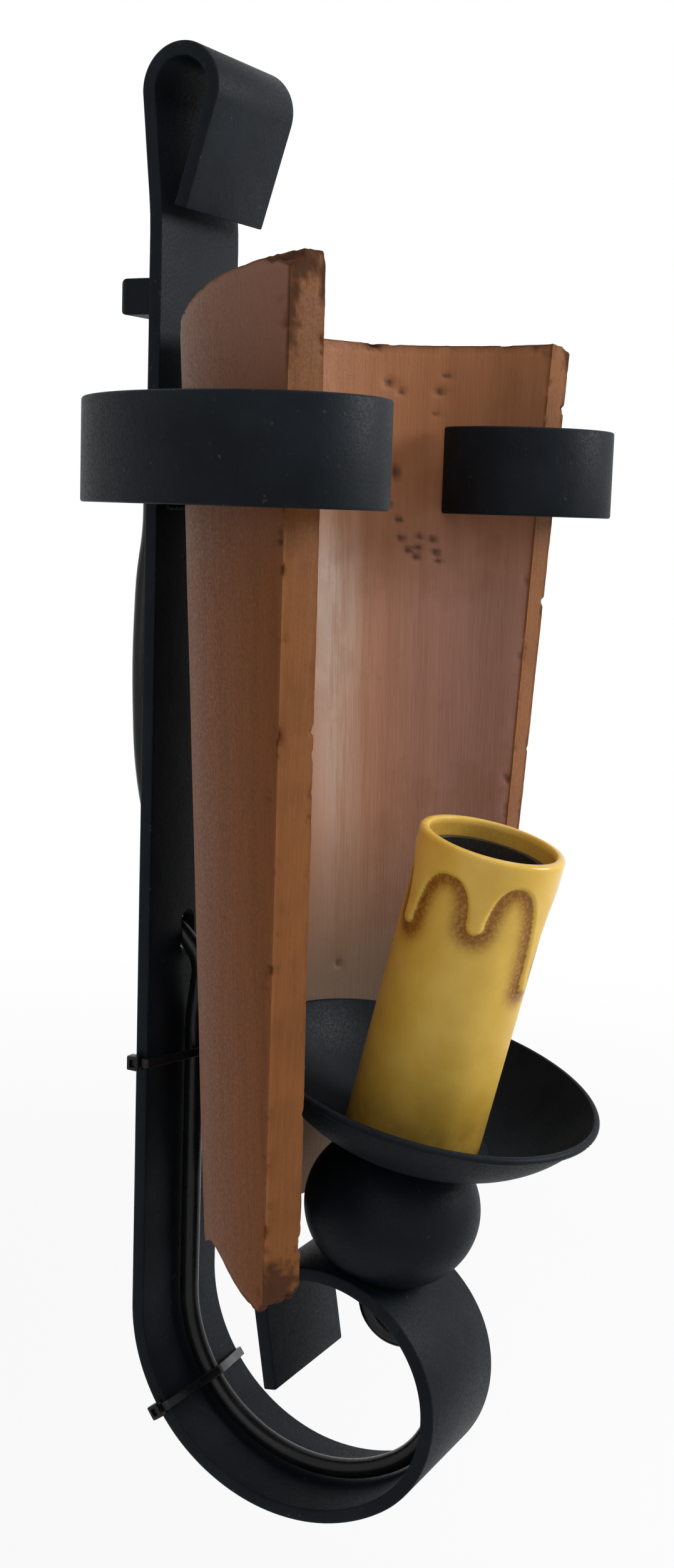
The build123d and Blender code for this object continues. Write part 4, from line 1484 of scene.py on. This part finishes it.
    def break_off(self, places: np.ndarray, masks: dict) -> np.ndarray:
        """Return the places with the broken corners pressed to their rough planes.

        Args:
            places: points on the tile in millimetres, one row each.
            masks: the tile's masks by name, of which some are marked here.

        Returns:
            The same places, moved.
        """
        for corner in self.breaks:
            normal = np.array(corner.normal) / np.linalg.norm(corner.normal)
            past = (places - np.array(corner.point)) @ normal
            wing = places[:, 0] * corner.point[0] > 0
            for i in np.nonzero((past > -corner.margin) & wing)[0]:
                rough = corner.rough * layered_noise(Vector(places[i]), corner.grain)
                if past[i] > rough:
                    places[i] -= normal * (past[i] - rough)
                    masks["broken"][i] = min(1.0, masks["broken"][i] + corner.darkness)
        for stain in self.stains:
            masks["broken"] = np.maximum(masks["broken"], stain.at(places) * masks["cut"])
        return places


@dataclass
class Drip:
    """A wax drip: its angle from the front, its length below the rim and its half width."""

    angle: float
    length: float
    half_w: float


@dataclass
class Candle:
    """Imitation candle: a tube with wax that has run over its rim."""

    radius: float = 18.8
    bore: float = 17.2
    base: float = 38.5
    height: float = 86.0
    layer: float = 0.95
    layer_most: float = 1.28
    overflow: float = 5.6
    sway: float = 0.6
    sways: int = 3
    sway_start: float = 0.7
    web: float = 1.9
    web_fall: float = 0.8
    edge_past: float = 0.2
    edge_soft: float = 1.4
    bead: float = 0.4
    bead_inset: float = 0.4
    bead_narrow: float = 1.6
    bead_long: float = 1.5
    rim_round: float = 1.1
    rim_rows: tuple = (0.0, 0.15, 0.4, 0.8)
    wax_rows: tuple = (1.2, 42.0, 0.36)
    plain_rows: tuple = (43.0, 24)
    bore_rim_rows: tuple = (0.0, 0.5)
    bore_rows: tuple = (2.0, 20)
    bore_ease: float = 0.45
    bore_shade: float = 0.38
    # Halo mask inside the bore: painted shade
    rim_dull: float = 0.1
    halo_middle: float = 1.2
    halo_half_w: float = 3.1
    halo_inset: float = 0.15
    run_edge: float = 0.8
    foot_tall: float = 26.0
    foot_fade: float = 1.6
    scan_step: float = 0.05
    edge_step: float = 0.12
    around: int = 400
    drips: Sequence[Drip] = (
        Drip(-126.0, 24.5, 2.0),
        Drip(-66.0, 21.0, 2.4),
        Drip(-6.0, 35.7, 1.7),
        Drip(48.0, 18.0, 2.4),
        Drip(104.0, 29.0, 1.9),
        Drip(164.0, 21.0, 2.2),
    )

    def arc(self, angle: np.ndarray, drip: Drip) -> np.ndarray:
        """Return the way round the candle from a drip's middle, below zero on one side."""
        return np.radians((angle - drip.angle + 180) % 360 - 180) * self.radius

    def edge_depth(self, angle: np.ndarray) -> np.ndarray:
        """Return how far below the rim the overflow ends, round the candle.

        Args:
            angle: degrees round the candle.

        Returns:
            Depths in millimetres.
        """
        depth = self.overflow + self.sway * np.sin(np.radians(angle) * self.sways + self.sway_start)
        for drip in self.drips:
            arc = abs(self.arc(angle, drip))
            tip = drip.half_w * np.sqrt(np.clip(1 - (arc / drip.half_w) ** 2, 0, 1))
            hang = drip.length - self.overflow - drip.half_w
            past = np.clip(arc - drip.half_w, 0, None) / self.web
            depth += tip + hang * np.exp(-(past**self.web_fall))
        return depth

    def inside_edge(self, angle: np.ndarray, rows: np.ndarray) -> np.ndarray:
        """Return how far each place lies inside the overflow's edge, below zero outside it.

        Args:
            angle: degrees round the candle.
            rows: millimetres below the rim.

        Returns:
            Distances in millimetres, one row for each depth.
        """
        fine = np.arange(0.0, 360.0, self.scan_step)
        line = self.edge_depth(fine)
        steps = np.hypot(np.radians(self.scan_step) * self.radius, np.diff(line))
        way = np.concatenate(([0.0], np.cumsum(steps)))
        even = np.arange(0.0, way[-1], self.edge_step)
        fine, line = np.interp(even, way, fine), np.interp(even, way, line)
        arc = np.radians((angle[:, None] - fine[None, :] + 180) % 360 - 180) * self.radius
        edge = self.edge_depth(angle)
        return np.array([np.sign(edge - row) * np.hypot(arc, line - row).min(1) for row in rows])

    def relief(self, angle: np.ndarray, rows: np.ndarray, inside: np.ndarray) -> np.ndarray:
        """Return the outer radius with the overflow, the beads at the drips' tips and the eased rim.

        Args:
            angle: degrees round the candle.
            rows: millimetres below the rim.
            inside: how far each place lies inside the overflow.

        Returns:
            Radii in millimetres, one row for each depth.
        """
        layer = self.layer * np.sin(ramp(inside, -self.edge_past, self.edge_soft) * np.pi / 2)
        for drip in self.drips:
            arc = self.arc(angle, drip)[None, :] / drip.half_w
            up = (rows[:, None] - (drip.length - drip.half_w)) / (self.bead_long * drip.half_w)
            bead = self.bead * np.exp(-(arc**2) * self.bead_narrow - up**2)
            layer = layer + bead * (inside > -self.bead_inset)
        radii = self.radius + np.minimum(layer, self.layer_most)
        ease = np.clip(self.rim_round - rows, 0, self.rim_round)
        return radii - (self.rim_round - np.sqrt(np.maximum(self.rim_round**2 - ease**2, 0)))[:, None]

    def build(self, workshop: Workshop, axis: CandleAxis) -> None:
        """Make the candle's closed mesh with its masks.

        Args:
            workshop: where pieces are finished and dressed.
            axis: the candle's axis.
        """
        angle = np.arange(self.around) * 360.0 / self.around
        start, count = self.plain_rows
        plain = np.linspace(start, self.height, count)
        rows = np.concatenate((self.rim_rows, np.arange(*self.wax_rows), plain))
        inside = self.inside_edge(angle, rows)
        away = np.clip(-inside, 0, None)
        halo_and_bore_shade = np.exp(-(((away - self.halo_middle) / self.halo_half_w) ** 2)) * (inside < self.halo_inset)
        run = ramp(inside, 0.0, self.run_edge)
        # Browner foot, partly painted shade, towards the bottom
        fade = ramp(rows, self.height - self.foot_tall, self.foot_tall) ** self.foot_fade
        foot_tint_and_shade = fade[:, None] * np.ones((1, self.around))
        start, count = self.bore_rows
        bore_rows = np.concatenate((self.bore_rim_rows, np.linspace(start, self.height, count)))
        bore = np.full((len(bore_rows), self.around), self.bore)
        bore[0] += self.bore_ease
        # In the bore the halo mask carries painted shade, with only a slight darkening on the rim rows
        dull = np.full_like(bore, self.bore_shade)
        dull[: len(self.bore_rim_rows)] = self.rim_dull
        blank = np.zeros_like(bore)
        rings = np.concatenate((self.relief(angle, rows, inside), bore[::-1]))
        depths = np.concatenate((rows, bore_rows[::-1]))
        mesh = self.ring_mesh(rings, depths, angle)
        for name, outer, inner in (("halo_and_bore_shade", halo_and_bore_shade, dull[::-1]), ("run", run, blank), ("foot_tint_and_shade", foot_tint_and_shade, blank)):
            store(mesh, name, np.concatenate((outer, inner)).ravel())
        axis.place(mesh)
        workshop.piece("candle_wax", smooth(mesh, 50.0), Body.CANDLE, Slot.WAX, "candle_sleeve")

    def ring_mesh(self, rings: np.ndarray, depths: np.ndarray, angle: np.ndarray) -> bpy.types.Mesh:
        """Return the closed mesh of rings at depths below the rim, down the outside and up the bore.

        Args:
            rings: radii in millimetres, one row for each ring.
            depths: each ring's depth.
            angle: degrees round the candle.

        Returns:
            The new mesh.
        """
        turn = np.radians(angle - 90.0)
        x = rings * np.cos(turn)[None, :]
        y = rings * np.sin(turn)[None, :]
        z = np.broadcast_to((self.base + self.height - depths)[:, None], rings.shape)
        places = np.stack((x, y, z), -1).reshape(-1, 3) * MM
        count, size = rings.shape
        faces = []
        for row in range(count):
            upper, lower = row * size, (row + 1) % count * size
            for i in range(size):
                j = (i + 1) % size
                faces.append((upper + i, lower + i, lower + j, upper + j))
        mesh = bpy.data.meshes.new("candle")
        mesh.from_pydata(places.tolist(), [], faces)
        return mesh


@dataclass
class Thread:
    """A screw thread on the candle's axis: its base, length, radius, turns and ridge."""

    base: float
    length: float
    radius: float
    turns: float
    ridge: float

    def roll(self, threads: ThreadRecipe, material: bpy.types.Material, axis: CandleAxis) -> bpy.types.Mesh:
        """Return the thread's mesh, in its place.

        Args:
            threads: the thread's recipe.
            material: its material.
            axis: the candle's axis.

        Returns:
            The new mesh.
        """
        stub = line_mesh("thread_line", [Vector((0, 0, 0)), Vector((0, 0, 1))])
        sizes = {"Radius": self.radius * MM, "Length": self.length * MM, "Ridge": self.ridge * MM}
        mesh = threads.run(stub, material, Turns=self.turns, **sizes)
        return axis.place(smooth(mesh, 80.0), self.base)


@dataclass
class Holder:
    """Lamp holder inside the candle, on its threaded tube."""

    socket: Thread = field(default_factory=lambda: Thread(91.3, 19.4, 13.4, 5.3, 0.45))
    tail: Thread = field(default_factory=lambda: Thread(-9.8, 5.4, 5.0, 6.0, 0.16))

    def build(self, workshop: Workshop, threads: ThreadRecipe, axis: CandleAxis) -> None:
        """Dress the holder's parts and roll the two threads that show.

        Args:
            workshop: where pieces are finished and dressed.
            threads: the thread's recipe.
            axis: the candle's axis.
        """
        dressed = {
            Slot.BLACK_PLASTIC: ("holder_cap", "holder_skirt"),
            Slot.BRASS: ("terminal_screws", "screw_shell", "centre_contact"),
            Slot.ZINC: ("threaded_tube", "tube_nut"),
            Slot.PORCELAIN: ("contact_insert",),
            Slot.CORE_PVC: ("cable_cores",),
        }
        for slot, nodes in dressed.items():
            for node in nodes:
                workshop.dress(node, slot)
        rolled = (("socket_thread", self.socket, Slot.BRASS), ("tube_thread", self.tail, Slot.ZINC))
        for name, thread, slot in rolled:
            mesh = thread.roll(threads, workshop.finishes[slot], axis)
            workshop.piece(name, mesh, Body.LAMP, slot)


@dataclass
class CableTie:
    """Plastic tie pulled tight round bar and cable, with its locking head at the bar's left edge."""

    bar_w: float = 40.0
    bar_t: float = 4.0
    cable_r: float = 2.75
    cable_gap: float = 0.35
    gap: float = 0.1
    thickness: float = 1.1
    width: float = 2.6
    edge_round: float = 0.25
    corner_ease: float = 0.5
    shoulder_rise: float = 0.05
    nose_points: int = 13
    head: tuple = (3.0, 3.8, 4.2)
    head_wall: float = 0.7
    head_sink: float = 0.9
    head_gap: float = 0.1

    def line(self) -> list[Vector]:
        """Return the closed middle line of the band, in its own plane.

        Returns:
            Points in millimetres.
        """
        clear = self.gap + self.thickness / 2
        half_w = self.bar_w / 2 + clear
        centre = Vector((0, self.bar_t / 2 + self.cable_gap + self.cable_r))
        radius = self.cable_r + clear
        corner = Vector((half_w, self.bar_t / 2 + clear))
        reach = corner - centre
        heading = math.degrees(math.atan2(reach.y, reach.x) + math.acos(radius / reach.length))
        turns = np.linspace(heading, 180 - heading, self.nose_points)
        nose = [centre + direction(turn) * radius for turn in turns]
        back = -self.bar_t / 2 - clear
        ease = self.corner_ease
        right = [
            Vector((half_w - ease, back)),
            Vector((half_w, back + ease)),
            Vector((half_w, corner.y - ease)),
        ]
        left = [Vector((-p.x, p.y)) for p in right[::-1]]
        shoulder = corner.y + self.shoulder_rise
        right.append(Vector((half_w - ease, shoulder)))
        left.insert(0, Vector((-half_w + ease, shoulder)))
        return nose + left + right

    def build(self, workshop: Workshop, bars: FlatBarRecipe, place: Matrix, name: str, node: str) -> None:
        """Make one tie at a place in millimetres, standing for its CAD node.

        Args:
            workshop: where pieces are finished and dressed.
            bars: the flat bar's recipe.
            place: the tie's matrix.
            name: the piece's name.
            node: the CAD node's name.
        """
        line = [Vector((p.x, p.y, 0)) for p in self.line()]
        pvc = workshop.finishes[Slot.BLACK_PVC]
        sizes = {"Side": self.thickness * MM, "Height": self.width * MM}
        rounding = {"Edge_Round": self.edge_round * MM, "Uneven": 0.0}
        band = bars.run(line_mesh("tie_line", line, True), pvc, **rounding, **sizes)
        both = join_meshes([band, self.head_mesh()])
        both.transform(in_metres(place))
        workshop.piece(name, both, Body.LAMP, Slot.BLACK_PVC, node)

    def head_mesh(self) -> bpy.types.Mesh:
        """Return the locking head: a rounded block with its strap slot sunk in.

        Returns:
            The new mesh.
        """
        across, deep, tall = self.head
        work = bmesh.new()
        block = Matrix.Diagonal((across * MM, deep * MM, tall * MM, 1))
        bmesh.ops.create_cube(work, size=1.0, matrix=block)
        bmesh.ops.bevel(work, geom=list(work.edges), offset=END_EASE * MM, **EASED)
        outer = max(work.faces, key=lambda f: -f.calc_center_median().x)
        bmesh.ops.inset_region(work, faces=[outer], thickness=self.head_wall * MM)
        sunk = bmesh.ops.extrude_face_region(work, geom=[outer])
        moved = [g for g in sunk["geom"] if isinstance(g, bmesh.types.BMVert)]
        bmesh.ops.translate(work, verts=moved, vec=(self.head_sink * MM, 0, 0))
        bmesh.ops.delete(work, geom=[outer], context="FACES_ONLY")
        shift = (-self.bar_w / 2 - self.gap - across / 2 - self.head_gap, -deep / 4, 0)
        bmesh.ops.translate(work, verts=list(work.verts), vec=Vector(shift) * MM)
        bmesh.ops.recalc_face_normals(work, faces=work.faces)
        mesh = bpy.data.meshes.new("tie_head")
        work.to_mesh(mesh)
        work.free()
        return mesh


@dataclass
class Wiring:
    """Cable, its two ties, and the terminal block behind the bar."""

    upper_tie_z: float = -210.3
    lower_tie_turn: float = 36.0
    scroll_centre: tuple = (-61.5, -282.3)
    scroll_r: float = 49.5
    bar_middle_y: float = -12.0

    def build(self, workshop: Workshop, bars: FlatBarRecipe) -> None:
        """Dress the cable and block, and make the ties.

        Args:
            workshop: where pieces are finished and dressed.
            bars: the flat bar's recipe.
        """
        workshop.dress("power_cable", Slot.BLACK_PVC)
        workshop.dress("terminal_block", Slot.BLOCK_PLASTIC)
        workshop.dress("block_clamp_screws", Slot.BRASS)
        workshop.dress("block_fixing_screw", Slot.ZINC)
        upper = self.place(Vector((0, self.bar_middle_y, self.upper_tie_z)), 0.0)
        CableTie().build(workshop, bars, upper, "upper_tie", "cable_tie_upper")
        out = direction(-self.lower_tie_turn) * self.scroll_r
        spot = Vector((0, self.scroll_centre[0] + out.x, self.scroll_centre[1] + out.y))
        lower = self.place(spot, self.lower_tie_turn)
        CableTie().build(workshop, bars, lower, "lower_tie", "cable_tie_lower")

    @staticmethod
    def place(spot: Vector, turn: float) -> Matrix:
        """Return a tie's matrix: its Y towards the cable, square to the bar at a turn of the scroll.

        Args:
            spot: the middle of the bar there.
            turn: degrees round the scroll.

        Returns:
            The tie's matrix, in millimetres.
        """
        inward = Vector((0, -math.cos(math.radians(turn)), math.sin(math.radians(turn))))
        across = Vector((1, 0, 0))
        columns = Matrix((across, inward, across.cross(inward))).transposed().to_4x4()
        return Matrix.Translation(spot) @ columns


@dataclass
class SoftLamp:
    """A soft square lamp: its name, its place from the object's middle, its size and its power."""

    name: str
    offset: tuple
    size: float
    power: float

    def hang(self, target: Vector) -> None:
        """Add the lamp, facing the object.

        Args:
            target: the object's middle.
        """
        data = bpy.data.lights.new(self.name, "AREA")
        data.size = self.size
        data.energy = self.power
        offset = Vector(self.offset)
        lamp = bpy.data.objects.new(self.name, data)
        lamp.location = target + offset
        lamp.rotation_euler = (-offset).to_track_quat("-Z", "Y").to_euler()
        bpy.context.scene.collection.objects.link(lamp)


@dataclass
class Studio:
    """Pale floor, soft light and the camera of the photograph's view."""

    image_w: int = 1077
    image_h: int = 2506
    focal_px: float = 3005.0
    yaw: float = 62.55
    pitch: float = 8.5
    roll: float = 1.87
    camera_at: tuple = (-450.4, -296.5, -54.9)
    view_centre: tuple = (546.0, 1266.0)
    sensor: float = 36.0
    near: float = 0.01
    floor_drop: float = 120.0
    floor_half: float = 6.0
    floor_dark: tuple = (0.86, 0.86, 0.86)
    floor_light: tuple = (0.9, 0.9, 0.9)
    floor_mottle: float = 8.0
    floor_rough: float = 0.9
    floor_white: float = 0.84
    shadow_near: float = 0.5
    shadow_far: float = 1.3
    ambient: float = 0.32
    lamps: Sequence[SoftLamp] = (
        SoftLamp("key", (0.50, -0.90, 0.42), 0.42, 10.2),
        SoftLamp("fill", (-0.95, -0.25, 0.40), 0.9, 2.1),
        SoftLamp("top", (-0.10, -0.25, 1.0), 0.8, 3.0),
    )

    def build(self) -> None:
        """Make the camera, the floor, the lamps and the world."""
        scene = bpy.context.scene
        scene.view_settings.view_transform = "Standard"
        scene.camera = self.camera()
        self.floor()
        middle = (Vector(CAD_BOX[0]) + Vector(CAD_BOX[1])) / 2
        for lamp in self.lamps:
            lamp.hang(middle)
        self.world(scene)

    def camera(self) -> bpy.types.Object:
        """Return the camera at the photograph's viewing angle.

        Returns:
            The camera's object.
        """
        data = bpy.data.cameras.new("view")
        data.sensor_width = self.sensor
        data.lens = self.focal_px / self.image_h * self.sensor
        data.shift_x = -(self.view_centre[0] - self.image_w / 2) / self.image_h
        data.shift_y = (self.view_centre[1] - self.image_h / 2) / self.image_h
        data.clip_start = self.near
        yaw, pitch, roll = (math.radians(a) for a in (self.yaw, self.pitch, self.roll))
        ahead = Vector((math.sin(yaw), math.cos(yaw), 0))
        side = Vector((math.cos(yaw), -math.sin(yaw), 0))
        up = Vector((0, 0, 1))
        look = ahead * math.cos(pitch) - up * math.sin(pitch)
        rise = up * math.cos(pitch) + ahead * math.sin(pitch)
        right = side * math.cos(roll) + rise * math.sin(roll)
        top = rise * math.cos(roll) - side * math.sin(roll)
        camera = bpy.data.objects.new("view", data)
        turn = Matrix((right, top, -look)).transposed().to_4x4()
        camera.matrix_world = Matrix.Translation(Vector(self.camera_at) * MM) @ turn
        bpy.context.scene.collection.objects.link(camera)
        return camera

    def floor(self) -> None:
        """Add the pale floor below the lamp, white to the camera but with its shadow."""
        size = self.floor_half
        z = CAD_BOX[0].z - self.floor_drop * MM
        mesh = bpy.data.meshes.new("floor")
        corners = [(-size, -size, z), (size, -size, z), (size, size, z), (-size, size, z)]
        mesh.from_pydata(corners, [], [(0, 1, 2, 3)])
        material = bpy.data.materials.new("pale_floor")
        material.use_nodes = True
        graph = Graph(material.node_tree)
        nodes = material.node_tree.nodes
        place = graph.add("ShaderNodeTexCoord").outputs["Object"]
        shade = graph.noise(place, self.floor_mottle)
        away = graph.add("ShaderNodeVectorMath", {0: place}, operation="LENGTH").outputs["Value"]
        whiter = graph.remap(away, self.shadow_near, self.shadow_far, self.floor_white, 1.0)
        pale = graph.mix(shade, self.floor_dark, self.floor_light)
        Finish.feed(graph, nodes["Principled BSDF"], Base_Color=pale, Roughness=self.floor_rough)
        white = graph.add("ShaderNodeEmission", {"Color": (1, 1, 1, 1), "Strength": 1.0})
        share = graph.math("MULTIPLY", self.seen(graph), whiter)
        inputs = {0: share, 1: nodes["Principled BSDF"].outputs[0], 2: white.outputs[0]}
        both = graph.add("ShaderNodeMixShader", inputs)
        graph.tree.links.new(both.outputs[0], nodes["Material Output"].inputs["Surface"])
        mesh.materials.append(material)
        floor = bpy.data.objects.new("floor", mesh)
        bpy.context.scene.collection.objects.link(floor)

    @staticmethod
    def seen(graph: Graph) -> bpy.types.NodeSocket:
        """Return 1 where a ray comes from the camera, a gloss or a glass, and 0 elsewhere.

        Args:
            graph: the nodes of a material or a world.

        Returns:
            The share's socket.
        """
        path = graph.add("ShaderNodeLightPath").outputs
        rays = graph.math("MAXIMUM", path["Is Camera Ray"], path["Is Glossy Ray"])
        return graph.math("MAXIMUM", rays, path["Is Transmission Ray"])

    def world(self, scene: bpy.types.Scene) -> None:
        """Set a world that is white to the camera and dimmer as light.

        Args:
            scene: the scene that gets it.
        """
        world = bpy.data.worlds.new("studio")
        world.use_nodes = True
        graph = Graph(world.node_tree)
        nodes = world.node_tree.nodes
        strength = graph.remap(self.seen(graph), 0.0, 1.0, self.ambient, 1.0)
        back = nodes["Background"]
        back.inputs["Color"].default_value = (1, 1, 1, 1)
        graph.tree.links.new(strength, back.inputs["Strength"])
        scene.world = world


def main() -> None:
    """Build the lamp's pieces in order, then the studio round them."""
    logging.basicConfig(level=logging.INFO, format="%(name)s: %(message)s")
    workshop = Workshop(Finishes())
    bars = FlatBarRecipe("flat_bar_along_line")
    welds = WeldRecipe("weld_bead_along_line")
    threads = ThreadRecipe("screw_thread")
    axis = CandleAxis()
    Strap().build(workshop, bars, welds, axis)
    Clasp().build(workshop, bars, welds)
    RoofTile().build(workshop)
    for node in ("scroll_ball", "drip_pan"):
        workshop.dress(node, Slot.IRON)
    Candle().build(workshop, axis)
    Holder().build(workshop, threads, axis)
    Wiring().build(workshop, bars)
    Studio().build()


if __name__ == "__main__":
    main()
